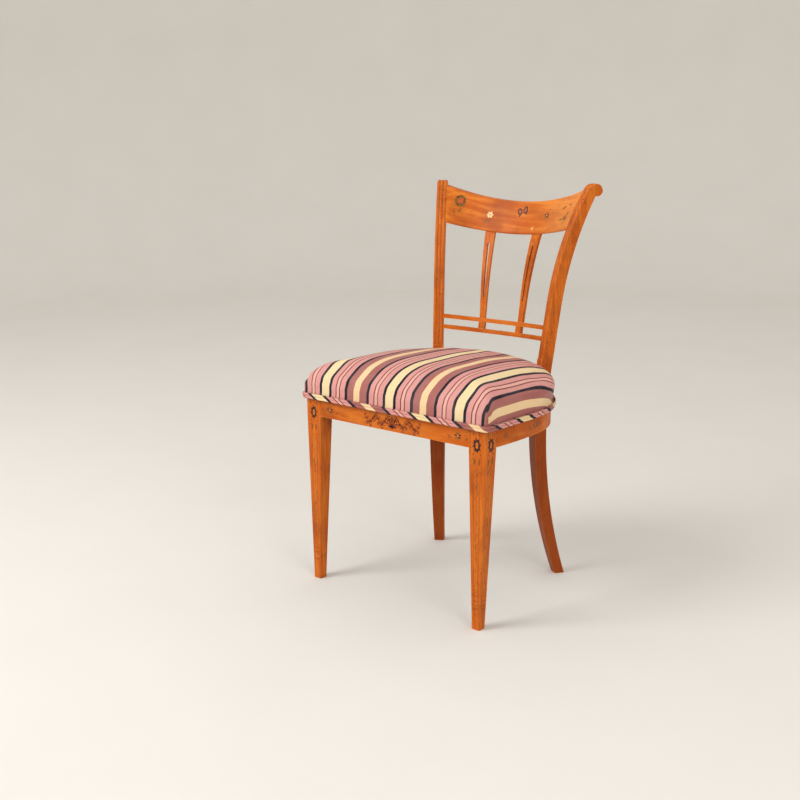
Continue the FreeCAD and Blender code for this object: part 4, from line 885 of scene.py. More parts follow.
def crease_corners(mesh):
    """Sinks the folded fabric at both front corners, and puckers the cover a little over the welt."""
    mesh.update()
    points = positions(mesh)
    normals = np.zeros(len(mesh.vertices) * 3)
    mesh.vertices.foreach_get("normal", normals)
    x, y, z, way = halved(mesh)
    edge, fold = corner_fold(x, y)

    def waves(scale, seed):
        return np.array([noise.noise(Vector((a * scale, b * scale, seed))) for a, b in zip(way * x, y)])

    at_corner = (x > edge - 12) & (y < PLAN["front"] + 12)
    sink = 0.9 * np.clip(1 - np.abs(fold) / 3.5, 0, 1) * (1 - ease(z, 448.0, 462.0)) * at_corner
    pucker = waves(0.075, 3.1) * 0.7 * (1 - ease(z, WELT_HIGH, 434.0))
    lumps = waves(0.012, 7.7) * ease(z, 430.0, 470.0)
    shift = np.where(z > WELT_HIGH - 4, pucker - sink + lumps, 0.0)
    set_positions(mesh, points + normals.reshape(-1, 3) * (shift * MM)[:, None])


class CHAIR_OT_seat_cushion(bpy.types.Operator):
    """Stuffed seat with its striped cover, in place of the plain cover and pad"""
    bl_idname = "chair.seat_cushion"
    bl_label = "Seat cushion"

    def execute(self, context):
        cloth = context.scene.chair_fabric
        points, faces = ring_solid(cushion_rings(cloth.crown / MM, cloth.swell / MM * SHRINK))

        def across(tree):
            side, top = attribute(tree, "across_side"), attribute(tree, "across_top")
            front = maths(tree, "GREATER_THAN", attribute(tree, "corner_fold"), 0.0)
            gap = maths(tree, "MULTIPLY", front, maths(tree, "SUBTRACT", top, side))
            return maths(tree, "SUBTRACT", maths(tree, "ADD", side, gap), cloth.phase / MM)

        material = fabric_material(
            "seat_fabric", across, lambda tree: attribute(tree, "along_cloth"), cloth.pitch)
        cushion = new_piece("seat_cushion", points, faces, material)
        remesh = cushion.modifiers.new("even_mesh", "REMESH")
        remesh.mode = "VOXEL"
        remesh.voxel_size = cloth.voxel
        finished_mesh(cushion)
        swell_cushion(cushion, cloth.swell)
        round_over(cushion.data)
        fill_sides(cushion.data)
        hold_skirt_out(cushion.data)
        finer = cushion.modifiers.new("finer", "SUBSURF")
        finer.levels = 1
        finer.render_levels = 1
        crease_corners(finished_mesh(cushion))
        cut_out(cushion, "post_room", *post_room())
        cut_out(cushion, "frame_room", *frame_room())
        cloth_places(cushion.data)
        smooth(cushion)
        cushion.data.set_sharp_from_angle(angle=math.radians(55))
        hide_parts("seat_cover", "seat_pad")
        return {"FINISHED"}


# Double welt, in millimetres

WELT_LEVEL = 410.7
WELT_RADIUS = 3.05
WELT_VALLEY = 0.6
WELT_OFFSET = 6.4
POST_HALF = 20.1  # half width of the room that the welt leaves for a rear post

def welt_path(offset):
    """Points round the seat from the left post over the front to the right post, in millimetres."""
    right = half_outline(offset, 4.0 + 3.1, offset, (120, 9, 60, 60, 40))
    out, aside = post_place(right)
    stop = int(np.nonzero((out > 225.0) & (np.abs(aside) < POST_HALF))[0][0])
    right = right[:stop]
    left = right[1:][::-1] * np.array([-1.0, 1.0])
    return np.concatenate([left, right])


def back_path(offset):
    radius = PLAN["back"] + offset
    turn = PLAN["turn"] - math.asin(POST_HALF / radius)
    angles = np.linspace(math.pi / 2 + turn, math.pi / 2 - turn, 70)
    return np.stack([radius * np.cos(angles), PLAN["centre"][1] + radius * np.sin(angles)], axis=1)


def welt_section(radius):
    """Outline of two cords side by side, sewn together along the valley between them."""
    rise = math.sqrt(radius ** 2 - WELT_VALLEY ** 2)
    start = math.asin(WELT_VALLEY / radius)
    around = 11
    points = []
    for way in (1, -1):
        for step in range(around):
            angle = math.pi / 2 - start - (2 * math.pi - 2 * start) * (step + 0.5) / around
            angle = angle - math.pi if way < 0 else angle
            points.append((radius * math.cos(angle), rise * way + radius * math.sin(angle)))
    upper = sorted((p for p in points if p[1] > 0), key=lambda p: math.atan2(p[0], -(p[1] - rise)))
    lower = sorted((p for p in points if p[1] <= 0), key=lambda p: math.atan2(-p[0], p[1] + rise))
    return upper + lower


def sweep_welt(name, path, outward, material):
    """Double cord along a path. outward is the side on which its normals lie."""
    along = distances(path)
    even = np.linspace(0, along[-1], int(along[-1] / 2.4))
    x, y = (np.interp(even, along, path[:, axis]) for axis in (0, 1))
    tangent = np.stack([np.gradient(x), np.gradient(y)], axis=1)
    tangent /= np.linalg.norm(tangent, axis=1)[:, None]
    normal = np.stack([tangent[:, 1], -tangent[:, 0]], axis=1) * outward
    section = welt_section(WELT_RADIUS)
    count = len(section)
    points, bias, run = [], [], []
    middle = even[-1] / 2
    cloth = bpy.context.scene.chair_fabric
    for place, at in enumerate(even):
        wobble = 1 + 0.035 * noise.noise(Vector((at * 0.11, 0.3, 5.0)))
        drift = 0.35 * noise.noise(Vector((at * 0.03, 8.0, 1.0)))
        for u, v in section:
            out = normal[place] * u * wobble
            points.append(((x[place] + out[0]) * MM, (y[place] + out[1]) * MM,
                           (WELT_LEVEL + drift + v * wobble) * MM))
            bias.append((at - middle + v * cloth.bias - u * 1.2) * cloth.bias_stretch)
            run.append(at - v)
    last = (len(even) - 1) * count
    faces = ring_faces(len(even), count)
    faces += [tuple(range(count))[::-1], tuple(range(last, last + count))]
    piece = new_piece(name, points, [face[::outward] for face in faces], material)
    working = bmesh.new()
    working.from_mesh(piece.data)
    bmesh.ops.recalc_face_normals(working, faces=working.faces)
    working.to_mesh(piece.data)
    working.free()
    set_numbers(piece.data, "bias", bias)
    set_numbers(piece.data, "run", run)
    smooth(piece)
    return piece, (x, y, normal)


def stitch_row(name, path, material, proud=0.75, every=3.4, long=2.2, thick=0.28):
    """Row of small stitches in the valley of the welt."""
    x, y, normal = path
    steps = distances(np.stack([x, y], axis=1))
    points, faces = [], []
    for at in np.arange(2.0, steps[-1] - 2.0, every):
        centre, out = (np.array([np.interp(at, steps, values) for values in pair])
                       for pair in ((x, y), normal.T))
        run = np.array([-out[1], out[0]])
        start = len(points)
        for end in (-1, 0, 1):
            swell = thick if end == 0 else thick * 0.45
            lift = proud + (0.15 if end == 0 else -0.1)
            for u, v in ((swell, 0), (0, swell), (-swell, 0), (0, -swell)):
                p = centre + out * (lift + u) + run * (end * long / 2)
                points.append((p[0] * MM, p[1] * MM, (WELT_LEVEL + v) * MM))
        faces += ring_faces(3, 4, start)
        faces += [(start + 3, start + 2, start + 1, start), tuple(range(start + 8, start + 12))]
    smooth(new_piece(name, points, faces, material))


class CHAIR_OT_welts(bpy.types.Operator):
    """Double cord of bias fabric round the seat and between the rear posts"""
    bl_idname = "chair.welts"
    bl_label = "Double welt"

    def execute(self, context):
        cloth = context.scene.chair_fabric

        def across(tree):
            shift = 107.8 - 62.0 * cloth.bias_stretch
            return maths(tree, "ADD", attribute(tree, "bias"), shift)

        material = fabric_material("welt_fabric", across, lambda tree: attribute(tree, "run"), 0.0007)
        thread = cloth_material("welt_thread", cloth.pink, cloth.thread, 0.4, 0.00005)
        middles = {}
        for side, path, outward in (("front", welt_path(WELT_OFFSET), 1), ("back", back_path(WELT_OFFSET), -1)):
            cord, middles[side] = sweep_welt("welt_cord_" + side, path, outward, material)
            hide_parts("welt_" + side)
        for side, middle in middles.items():
            stitch_row("welt_stitches_" + side, middle, thread)
        return {"FINISHED"}


# Cloth under the seat, cut to the outlines of its solids

SMALLEST_CLOTH = 0.003  # square metres


def flat_underside(node):
    """Faces of a flat CAD node's lower side, merged into its outlines."""
    mesh = NODES[node].data
    level = positions(mesh)[:, 2].min()
    working = bmesh.new()
    working.from_mesh(mesh)
    bmesh.ops.remove_doubles(working, verts=working.verts, dist=1e-6)
    others = [f for f in working.faces if any(abs(v.co.z - level) >= 2e-5 for v in f.verts)]
    bmesh.ops.delete(working, geom=others, context="FACES")
    bmesh.ops.dissolve_limit(working, angle_limit=0.01, verts=working.verts, edges=working.edges)
    return working


def islands_of(faces):
    """Sets of faces that hang together, from left to right, without slivers."""
    left, islands = set(faces), []
    while left:
        stack, found = [next(iter(left))], set()
        while stack:
            face = stack.pop()
            if face not in found:
                found.add(face)
                stack += [other for edge in face.edges for other in edge.link_faces if other not in found]
        left -= found
        islands.append(sorted(found, key=lambda f: f.index))
    islands = [found for found in islands if sum(f.calc_area() for f in found) > SMALLEST_CLOTH]
    return sorted(islands, key=lambda found: tuple(np.mean([f.calc_center_median()[:2] for f in found], axis=0)))


def cloth_from_node(node, name, cell, shape, material, thickness):
    """Sheets with a grid of points, cut to a flat node's outlines. shape gives a point's height in millimetres."""
    working = flat_underside(node)
    low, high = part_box(node)
    for axis in (0, 1):
        for at in np.arange(low[axis] + cell * MM / 2, high[axis], cell * MM):
            where, normal = Vector((0, 0, 0)), Vector((0, 0, 0))
            where[axis], normal[axis] = at, 1.0
            geometry = working.verts[:] + working.edges[:] + working.faces[:]
            bmesh.ops.bisect_plane(working, geom=geometry, plane_co=where, plane_no=normal, dist=1e-7)
    working.verts.index_update()
    working.faces.index_update()
    islands = islands_of(working.faces)
    made = []
    for number, found in enumerate(islands, start=1):
        verts = sorted({v for f in found for v in f.verts}, key=lambda v: v.index)
        spot = {v: i for i, v in enumerate(verts)}
        points = [(v.co.x, v.co.y, shape(v.co.x / MM, v.co.y / MM) * MM) for v in verts]
        faces = [tuple(spot[v] for v in f.verts) for f in found]
        label = name if len(islands) == 1 else f"{name}_{number}"
        piece = new_piece(label, points, faces, material)
        thick = piece.modifiers.new("thickness", "SOLIDIFY")
        thick.thickness = thickness * MM
        thick.offset = 0.0
        finished_mesh(piece)
        made.append((piece, sum(f.calc_area() for f in found)))
    working.free()
    return made


class CHAIR_OT_webbing(bpy.types.Operator):
    """Jute straps woven over and under each other on the rails"""
    bl_idname = "chair.webbing"
    bl_label = "Webbing"

    def execute(self, context):
        under = context.scene.chair_underside
        material = cloth_material("jute_webbing", under.jute, under.jute_line, 1.6, 0.0003)
        lift = under.strap_lift / MM
        level = 427.0
        spacing = 84.0
        first_x = -1.5 * spacing
        first_y = (PLAN["front"] + 21.0 + PLAN["centre"][1] + PLAN["back"] - 20.0) / 2 - 1.5 * spacing

        def crosswise(x, y):
            row = round((y - first_y) / spacing)
            return level + lift * math.cos(math.pi * (x - first_x) / spacing) * (-1) ** row

        def lengthwise(x, y):
            column = round((x - first_x) / spacing)
            return level - lift * math.cos(math.pi * (y - first_y) / spacing) * (-1) ** column

        for node, shape in (("webbing_crosswise", crosswise), ("webbing_lengthwise", lengthwise)):
            straps = cloth_from_node(node, node + "_strap", 7.0, shape, material, 1.1)
            for count, (strap, area) in enumerate(straps):
                if count == 0:
                    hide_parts(node)
        return {"FINISHED"}


class CHAIR_OT_burlap(bpy.types.Operator):
    """Burlap deck over the straps"""
    bl_idname = "chair.burlap"
    bl_label = "Burlap deck"

    def execute(self, context):
        under = context.scene.chair_underside
        dark = tuple(0.45 * c for c in under.burlap[:3]) + (1.0,)
        material = cloth_material("burlap_cloth", under.burlap, dark, 2.2, 0.0004)

        def shape(x, y):
            return 429.0 + 0.12 * noise.noise(Vector((x * 0.03, y * 0.03, 2.0)))

        (deck, area), = cloth_from_node("burlap_deck", "burlap_cloth", 12.0, shape, material, 0.7)
        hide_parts("burlap_deck")
        return {"FINISHED"}


class CHAIR_OT_dust_cover(bpy.types.Operator):
    """Thin black cloth tacked under the rails"""
    bl_idname = "chair.dust_cover"
    bl_label = "Dust cover"

    def execute(self, context):
        under = context.scene.chair_underside
        light = tuple(min(1.0, 2.6 * c) for c in under.cambric[:3]) + (1.0,)
        material = cloth_material("cambric_cloth", light, under.cambric, 0.8, 0.00008, 0.9)
        low, high = (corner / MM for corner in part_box("dust_cover"))
        top = high.z
        half, deep = (high.x - low.x) / 2, (high.y - low.y) / 2
        mid_y = (high.y + low.y) / 2

        def shape(x, y):
            u, v = abs(x) / (half - 20), abs(y - mid_y) / (deep - 20)
            hang = max(0.0, 1 - u * u) * max(0.0, 1 - v * v)
            ripple = noise.noise(Vector((x * 0.03, y * 0.012, 4.0))) * hang
            return top - 0.45 - hang * under.sag / MM + 1.4 * ripple

        (cover, area), = cloth_from_node("dust_cover", "dust_cloth", 9.0, shape, material, 0.35)
        smooth(cover)
        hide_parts("dust_cover")
        self.tacks(under, top)
        return {"FINISHED"}

    def tacks(self, under, top):
        """Domed tack heads along the cover's edge."""
        outline = whole_outline(-11.0, 4.0, -11.0, (60, 5, 40, 40, 60))
        loop = np.concatenate([outline, outline[:1]])
        steps = distances(loop)
        count = int(steps[-1] / (under.tack_spacing / MM))
        radius = under.tack_radius / MM
        around = 12
        points, faces = [], []
        for at in (np.arange(count) + 0.5) * steps[-1] / count:
            x, y = (np.interp(at, steps, loop[:, axis]) for axis in (0, 1))
            out, aside = (float(v[0]) for v in post_place(np.array([[x, y]])))
            at_leg = abs(x) > 190 and y < PLAN["front"] + 42
            if at_leg or out > 222 and abs(aside) < 30:
                continue
            start = len(points)
            for reach, drop in ((1.0, 0.0), (0.95, 0.35), (0.6, 0.85)):
                for k in range(around):
                    angle = 2 * math.pi * k / around
                    points.append((
                        (x + radius * reach * math.cos(angle)) * MM, (y + radius * reach * math.sin(angle)) * MM,
                        (top - 0.7 - drop) * MM))
            tip, last = len(points), len(points) - around
            points.append((x * MM, y * MM, (top - 1.7) * MM))
            faces += ring_faces(3, around, start, flip=True)
            faces += [(last + k, tip, last + (k + 1) % around) for k in range(around)]
            faces.append(tuple(range(start, start + around)))
        smooth(new_piece("dust_cover_tacks", points, faces, metal_material("tack_steel", under.steel)))


# Painted ornament. A motif is a list of flat shapes in millimetres: points, paint and layer.

def turned(points, angle, at=(0.0, 0.0)):
    s, c = math.sin(angle), math.cos(angle)
    return [(at[0] + c * x - s * y, at[1] + s * x + c * y) for x, y in points]


def oval(at, wide, high, paint, layer=0, sides=10, angle=0.0):
    points = [
        (wide * math.cos(2 * math.pi * k / sides), high * math.sin(2 * math.pi * k / sides)) for k in range(sides)]
    return [(turned(points, angle, at), paint, layer)]


def leaf(at, angle, long, wide, paint="leaf", layer=0):
    """Pointed leaf that starts at a point."""
    edge = [(k / 6 * long, wide / 2 * math.sin(math.pi * (k / 6) ** 0.8)) for k in range(7)]
    return [(turned(edge + [(x, -y) for x, y in edge[5:0:-1]], angle, at), paint, layer)]


def stroke(points, wide, paint="ink", layer=0, taper=0.35):
    """Brush stroke along points, thin at both ends."""
    count = len(points)
    sides = []
    for k, (x, y) in enumerate(points):
        ahead, behind = points[min(k + 1, count - 1)], points[max(k - 1, 0)]
        dx, dy = ahead[0] - behind[0], ahead[1] - behind[1]
        size = math.hypot(dx, dy) or 1.0
        swell = taper + (1 - taper) * math.sin(math.pi * k / (count - 1))
        nx, ny = -dy / size * wide / 2 * swell, dx / size * wide / 2 * swell
        sides.append(((x + nx, y + ny), (x - nx, y - ny)))
    return [([b, d, c, a], paint, layer) for (a, b), (c, d) in zip(sides, sides[1:])]


def curl(at, angle, size, turns=0.75, way=1, count=12):
    """Points of a spiral that winds in."""
    points = []
    heading = angle
    x, y = at
    for k in range(count):
        points.append((x, y))
        step = size / count * (1.25 - 0.6 * k / count)
        heading += way * turns * 2 * math.pi / count * (0.35 + 1.3 * k / count)
        x, y = x + step * math.cos(heading), y + step * math.sin(heading)
    return points


def star_ring(wide, high, spikes=8):
    """Oval ring with short points, round a pale heart."""
    shapes = oval((0, 0), wide * 0.44, high * 0.52, "cream_dull", 0, 16)
    for k in range(spikes * 2):
        a, b = 2 * math.pi * k / (spikes * 2), 2 * math.pi * (k + 1) / (spikes * 2)
        inner = [(wide * 0.34 * math.cos(t), high * 0.44 * math.sin(t)) for t in (a, b)]
        outer = [(wide * 0.86 * math.cos(t), high * 0.84 * math.sin(t)) for t in (a, b)]
        shapes.append(([inner[0], outer[0], outer[1], inner[1]], "ink", 1))
        if k % 2 == 0:
            mid = (a + b) / 2
            tip = (wide * 1.20 * math.cos(mid), high * 1.10 * math.sin(mid))
            shapes.append(([outer[0], tip, outer[1]], "ink", 1))
    shapes += oval((0, 0), wide * 0.16, high * 0.2, "rose", 1, 8)
    return shapes


def rosette(at, radius, petals, paint, heart="cream", layer=0, phase=0.0):
    shapes = []
    for k in range(petals):
        angle = phase + 2 * math.pi * k / petals
        middle = (at[0] + radius * 0.58 * math.cos(angle), at[1] + radius * 0.58 * math.sin(angle))
        shapes += oval(middle, radius * 0.46, radius * 0.30, paint, layer, 8, angle)
    return shapes + oval(at, radius * 0.26, radius * 0.26, heart, layer + 1, 8)


def wreath(radius):
    """Thick ring of leaves with small flowers in it."""
    shapes = []
    for k in range(13):
        angle = 2 * math.pi * k / 13
        at = (radius * 0.66 * math.cos(angle), radius * 0.74 * math.sin(angle))
        shapes += leaf(at, angle + 1.1, radius * 0.56, radius * 0.34, "ink" if k % 4 == 0 else "leaf", 0)
        shapes += leaf(at, angle - 0.6, radius * 0.46, radius * 0.26, "leaf", 0)
        shapes += leaf(at, angle + 2.6, radius * 0.34, radius * 0.2, "brown", 0)
    for k in range(3):
        angle = 0.4 + 2 * math.pi * k / 3
        shapes += rosette((radius * 0.26 * math.cos(angle), radius * 0.30 * math.sin(angle)), radius * 0.27, 5,
                          "rose", "brown", 1, angle)
    return shapes


def sprig(size, angle, way=1, flower="rose"):
    """Small bent stem with leaves and a bud."""
    stem = [(k / 7 * size, way * 0.22 * size * math.sin(math.pi * 0.8 * k / 7)) for k in range(8)]
    shapes = stroke(stem, size * 0.075, "brown")
    for k, side in ((1, 1), (2, -1), (3, 1), (4, -1), (5, 1)):
        shapes += leaf(stem[k], side * 0.9, size * 0.30, size * 0.14, "leaf" if k % 2 else "brown")
    shapes += oval(stem[-1], size * 0.09, size * 0.09, flower, 1, 8)
    return [(turned(points, angle), paint, layer) for points, paint, layer in shapes]


def bow(size):
    """Ribbon bow with two full loops and two tails, tied a little aslant."""
    shapes = []
    for way in (1, -1):
        loop = []
        for k in range(13):
            t = math.pi * k / 12
            loop.append((way * size * 0.40 * math.sin(t), size * 0.25 * math.sin(2 * t) + size * 0.10 * math.sin(t)))
        shapes += stroke(loop, size * 0.11, "ink", 0, 0.7)
        shapes += oval((way * size * 0.24, size * 0.05), size * 0.13, size * 0.15, "brown", 1, 10)
        shapes += oval((way * size * 0.26, size * 0.06), size * 0.06, size * 0.08, "cream_dull", 2, 8)
        tail = [(way * size * 0.4 * u, -size * (0.06 + 0.24 * u) + size * 0.05 * math.sin(6 * u)) for u in
                (0.05, 0.2, 0.35, 0.5, 0.65, 0.8, 0.95)]
        shapes += stroke(tail, size * 0.11, "ink", 0, 0.5)
        shapes += stroke([(x, y + size * 0.05) for x, y in tail], size * 0.04, "leaf", 1, 0.5)
    shapes += oval((0, 0), size * 0.09, size * 0.08, "rose", 1, 8)
    return [(turned(points, 0.3), paint, layer) for points, paint, layer in shapes]


def posy(radius):
    """Leafy bunch round one dark flower."""
    shapes = []
    for k in range(7):
        shapes += leaf((0, 0), 2 * math.pi * k / 7 + 0.3, radius, radius * 0.34, "leaf" if k % 3 else "ink")
    return shapes + rosette((0, 0), radius * 0.42, 5, "rose", "cream", 1)


def arabesque(half, high):
    """Dense brown scrolling vine about a small palm leaf, the same both ways."""
    shapes = []
    for k, angle in enumerate((90, 62, 118, 34, 146, 8, 172)):
        shapes += leaf((0, -high * 0.30), math.radians(angle), high * (0.78 - 0.06 * k), high * 0.15, "brown")
    shapes += oval((0, -high * 0.32), high * 0.08, high * 0.08, "ink", 1, 8)
    for way in (1, -1):
        vine = []
        for k in range(29):
            u = k / 28
            vine.append((way * (high * 0.12 + u * (half - high * 0.12)), high * 0.24 * math.sin(u * 4.4 * math.pi)))
        shapes += stroke(vine, 1.6, "brown", 0, 0.5)
        for k in range(1, 28):
            x, y = vine[k]
            side = 1 if k % 2 else -1
            heading = math.radians(90 * side) if way > 0 else math.radians(180 - 90 * side)
            fade = 1.0 - 0.4 * k / 28
            shapes += stroke(
                curl((x, y), heading - 0.5 * way, high * 0.62 * fade, 0.95, way * side), 1.0, "brown", 0, 0.5)
            shapes += leaf((x, y), heading + 0.6 * way, high * 0.24 * fade, high * 0.09, "brown")
            if k % 4 == 1:
                shapes += rosette((x, y - side * high * 0.24), high * 0.11, 5, "brown", "rose", 1)
    return shapes


def long_panel(low, high, half_low, half_high, dots):
    """Tall narrow panel: two fine lines with a dotted vine between them."""
    shapes = []
    for way in (1, -1):
        line = [(way * (half_low + (half_high - half_low) * u), low + (high - low) * u) for u in
                [k / 10 for k in range(11)]]
        shapes += stroke(line, 0.8, "brown", 0, 0.9)
        inner = [(x * 0.78, y) for x, y in line]
        shapes += stroke(inner, 0.45, "cream_dull", 0, 0.9)
    shapes += stroke([(-half_high, high), (0, high + half_high * 0.9), (half_high, high)], 0.8, "brown", 0, 0.9)
    for k in range(dots):
        u = (k + 0.5) / dots
        y = low + (high - low) * u
        sway = 0.22 * (half_low + (half_high - half_low) * u) * math.sin(k * 1.9)
        shapes += oval((sway, y), 0.75, 1.15, "ink" if k % 3 else "brown", 0, 7)
        if k % 4 == 1:
            shapes += leaf((sway, y), math.radians(60 if k % 8 == 1 else 120), 4.2, 1.5, "leaf")
            shapes += leaf((sway, y), math.radians(-60 if k % 8 == 1 else -120), 3.6, 1.3, "ink")
    return shapes


def surface_of(node):
    mesh = NODES[node].data
    return BVHTree.FromPolygons([v.co for v in mesh.vertices], [tuple(p.vertices) for p in mesh.polygons])


class Painter:
    """Lays motifs on the wood as a thin film that follows its surface."""

    def __init__(self, name):
        self.name = name
        self.points = []
        self.faces = []
        self.paints = []
        self.trees = {}

    def lay(self, node, at, facing, motif, up=(0, 0, 1), size=1.0):
        """Motif centred on a point in millimetres, seen from the facing side."""
        film = bpy.context.scene.chair_wood.film
        tree = self.trees.setdefault(node, surface_of(node))
        out = Vector(facing).normalized()
        start = Vector(at) * MM
        hit, normal, _, _ = tree.ray_cast(start + out * 0.06, -out)
        if hit is None:
            raise RuntimeError(f"nothing of {node} lies under the ornament at {at}")
        if normal.dot(out) < 0:
            normal = -normal
        upward = (Vector(up) - normal * normal.dot(Vector(up))).normalized()
        right = upward.cross(normal)
        for shape, paint, layer in motif:
            spots = []
            for a, b in shape:
                above = hit + (right * a + upward * b) * (size * MM) + normal * 0.02
                found, face_normal, _, _ = tree.ray_cast(above, -normal)
                if found is None or face_normal.dot(normal) < 0.55 or (found - above).length > 0.03:
                    spots = []
                    break
                spots.append((found, face_normal))
            if len(spots) < 3:
                continue
            count = len(spots)
            ring = list(range(len(self.points), len(self.points) + count))
            height = film * (1 + 0.6 * layer)
            self.points += [found + face_normal * height for found, face_normal in spots]
            self.points += [found - face_normal * film for found, face_normal in spots]
            arms = [self.points[i] - self.points[ring[0]] for i in ring]
            if sum(a.cross(b).dot(normal) for a, b in zip(arms, arms[1:])) < 0:
                ring.reverse()
            under = [i + count for i in ring]
            self.faces.append(tuple(ring))
            self.faces.append(tuple(under[::-1]))
            for k in range(count):
                after = (k + 1) % count
                self.faces.append((ring[k], under[k], under[after], ring[after]))
            self.paints += [paint] * (count + 2)

    def finish(self):
        wood = bpy.context.scene.chair_wood
        tints = {"ink": wood.ink, "brown": wood.brown, "leaf": wood.leaf, "rose": wood.rose, "cream": wood.cream,
                 "cream_dull": wood.glaze_light}
        names = list(tints)
        materials = [
            bpy.data.materials.get("paint_" + name) or paint_material("paint_" + name, tints[name]) for name in names]
        piece = new_piece(self.name, self.points, self.faces, materials)
        if len(piece.data.polygons) != len(self.paints):
            raise RuntimeError(f"{self.name} lost faces")
        for face, paint in zip(piece.data.polygons, self.paints):
            face.material_index = names.index(paint)


class CHAIR_OT_leg_ornament(bpy.types.Operator):
    """Star flowers, sprigs and dotted panels on the front legs"""
    bl_idname = "chair.leg_ornament"
    bl_label = "Leg ornament"

    def execute(self, context):
        front = PLAN["front"]
        for name, way in (("right", 1), ("left", -1)):
            node = "front_leg_" + name
            painter = Painter(f"ornament_leg_{name}")
            for facing in ((0, -1, 0), (way, 0, 0)):
                front_side = facing[0] == 0

                def spot(u, z):
                    if front_side:
                        return 216.5 * way + u, front, z
                    return 236.5 * way, front + min(36.0, 18.5 + 0.0475 * z) / 2 + u, z

                lean = 0.0 if front_side else -0.0237 * way
                painter.lay(node, spot(0, 375.0), facing, star_ring(9.0, 14.5))
                for corner in (-1, 1):
                    painter.lay(node, spot(9.5 * corner, 392.0), facing, sprig(8.0, math.radians(90 + 25 * corner)))
                    painter.lay(node, spot(6.4 * corner, 335.0), facing,
                                sprig(15.0, math.radians(90 - 14 * corner), corner))
                    painter.lay(node, spot(8.5 * corner, 357.0), facing, oval((0, 0), 1.1, 1.6, "ink"))
                painter.lay(node, spot(0, 353.0), facing, oval((0, 0), 1.3, 2.2, "rose"))
                panel = [(turned(shape, lean), paint, layer)
                         for shape, paint, layer in long_panel(-116.0, 116.0, 4.6, 8.0, 38)]
                painter.lay(node, spot(0, 205.0), facing, panel)
                for drop, wide in ((83.0, 6.5), (78.0, 6.3), (60.0, 6.0), (44.0, 5.7)):
                    painter.lay(node, spot(0, drop), facing,
                                stroke([(-wide, 0), (-wide / 3, 0), (wide / 3, 0), (wide, 0)], 0.9,
                                       "brown" if drop > 70 else "ink", 0, 0.8))
                for corner in (-1, 0, 1):
                    painter.lay(node, spot(4.6 * corner, 71.0), facing, oval((0, 0), 0.9, 1.4, "ink"))
            painter.finish()
        return {"FINISHED"}


class CHAIR_OT_rail_ornament(bpy.types.Operator):
    """Scrolling vine and small flowers on the seat rails"""
    bl_idname = "chair.rail_ornament"
    bl_label = "Rail ornament"

    def execute(self, context):
        front = PLAN["front"]
        painter = Painter("ornament_rails")
        painter.lay("seat_rail_front", (3.0, front, 385.5), (0, -1, 0), arabesque(76.0, 33.0))
        for way in (-1, 1):
            painter.lay("seat_rail_front", (170.0 * way, front, 386.0), (0, -1, 0), posy(10.0))
            painter.lay("seat_rail_front", (154.0 * way, front, 379.0), (0, -1, 0),
                        sprig(11.0, math.radians(90 + 40 * way), way))
            painter.lay("seat_rail_front", (186.0 * way, front, 379.0), (0, -1, 0),
                        sprig(10.0, math.radians(90 - 35 * way), -way))
            node = "seat_rail_right" if way > 0 else "seat_rail_left"
            for y, lean in ((-78.0, 32), (-46.0, -32)):
                painter.lay(node, (239.0 * way, y, 380.0), (way, 0, 0), sprig(14.0, math.radians(90 + lean * way), way))
            painter.lay(node, (239.0 * way, -62.0, 388.0), (way, 0, 0), posy(9.0))
            painter.lay(node, (239.0 * way, -165.0, 386.0), (way, 0, 0), posy(7.5))
        painter.finish()
        return {"FINISHED"}


class CHAIR_OT_back_ornament(bpy.types.Operator):
    """Wreaths, sprigs and a ribbon bow on the crest rail"""
    bl_idname = "chair.back_ornament"
    bl_label = "Back ornament"

    def execute(self, context):
        painter = Painter("ornament_crest")
        for x, y, z, motif in (
                (-143.7, 185.5, 803.2, wreath(13.0)), (-140.2, 173.3, 775.3, sprig(15.0, math.radians(55), 1)),
                (-149.0, 171.0, 772.0, sprig(11.0, math.radians(125), -1)),
                (-68.7, 197.5, 773.9, rosette((0, 0), 8.0, 6, "cream", "cream_dull")),
                (-74.0, 194.0, 766.0, sprig(13.0, math.radians(235), 1)),
                (-66.0, 196.0, 765.0, sprig(11.0, math.radians(262), -1)),
                (12.6, 208.7, 783.1, bow(29.0)),
                (83.2, 195.9, 778.3, posy(9.0)), (49.2, 190.8, 748.5, rosette((0, 0), 7.0, 6, "cream_dull", "cream")),
                (97.9, 185.7, 764.7, rosette((0, 0), 7.0, 5, "cream_dull", "rose")),
                (141.2, 186.0, 801.9, sprig(15.0, math.radians(200), 1)),
                (146.0, 184.0, 804.0, sprig(11.0, math.radians(20), -1)),
                (143.2, 172.6, 776.9, posy(7.5)), (137.0, 175.0, 774.0, sprig(10.0, math.radians(215), -1)),
                (148.0, 172.0, 780.0, sprig(10.0, math.radians(60), 1))):
            out = Vector((-x, -math.sqrt(max(260.0 ** 2 - x * x, 1.0)), 0)).normalized()
            painter.lay("crest_rail", (x, y, z), (out.x, out.y, 0.28), motif)
        painter.finish()
        return {"FINISHED"}


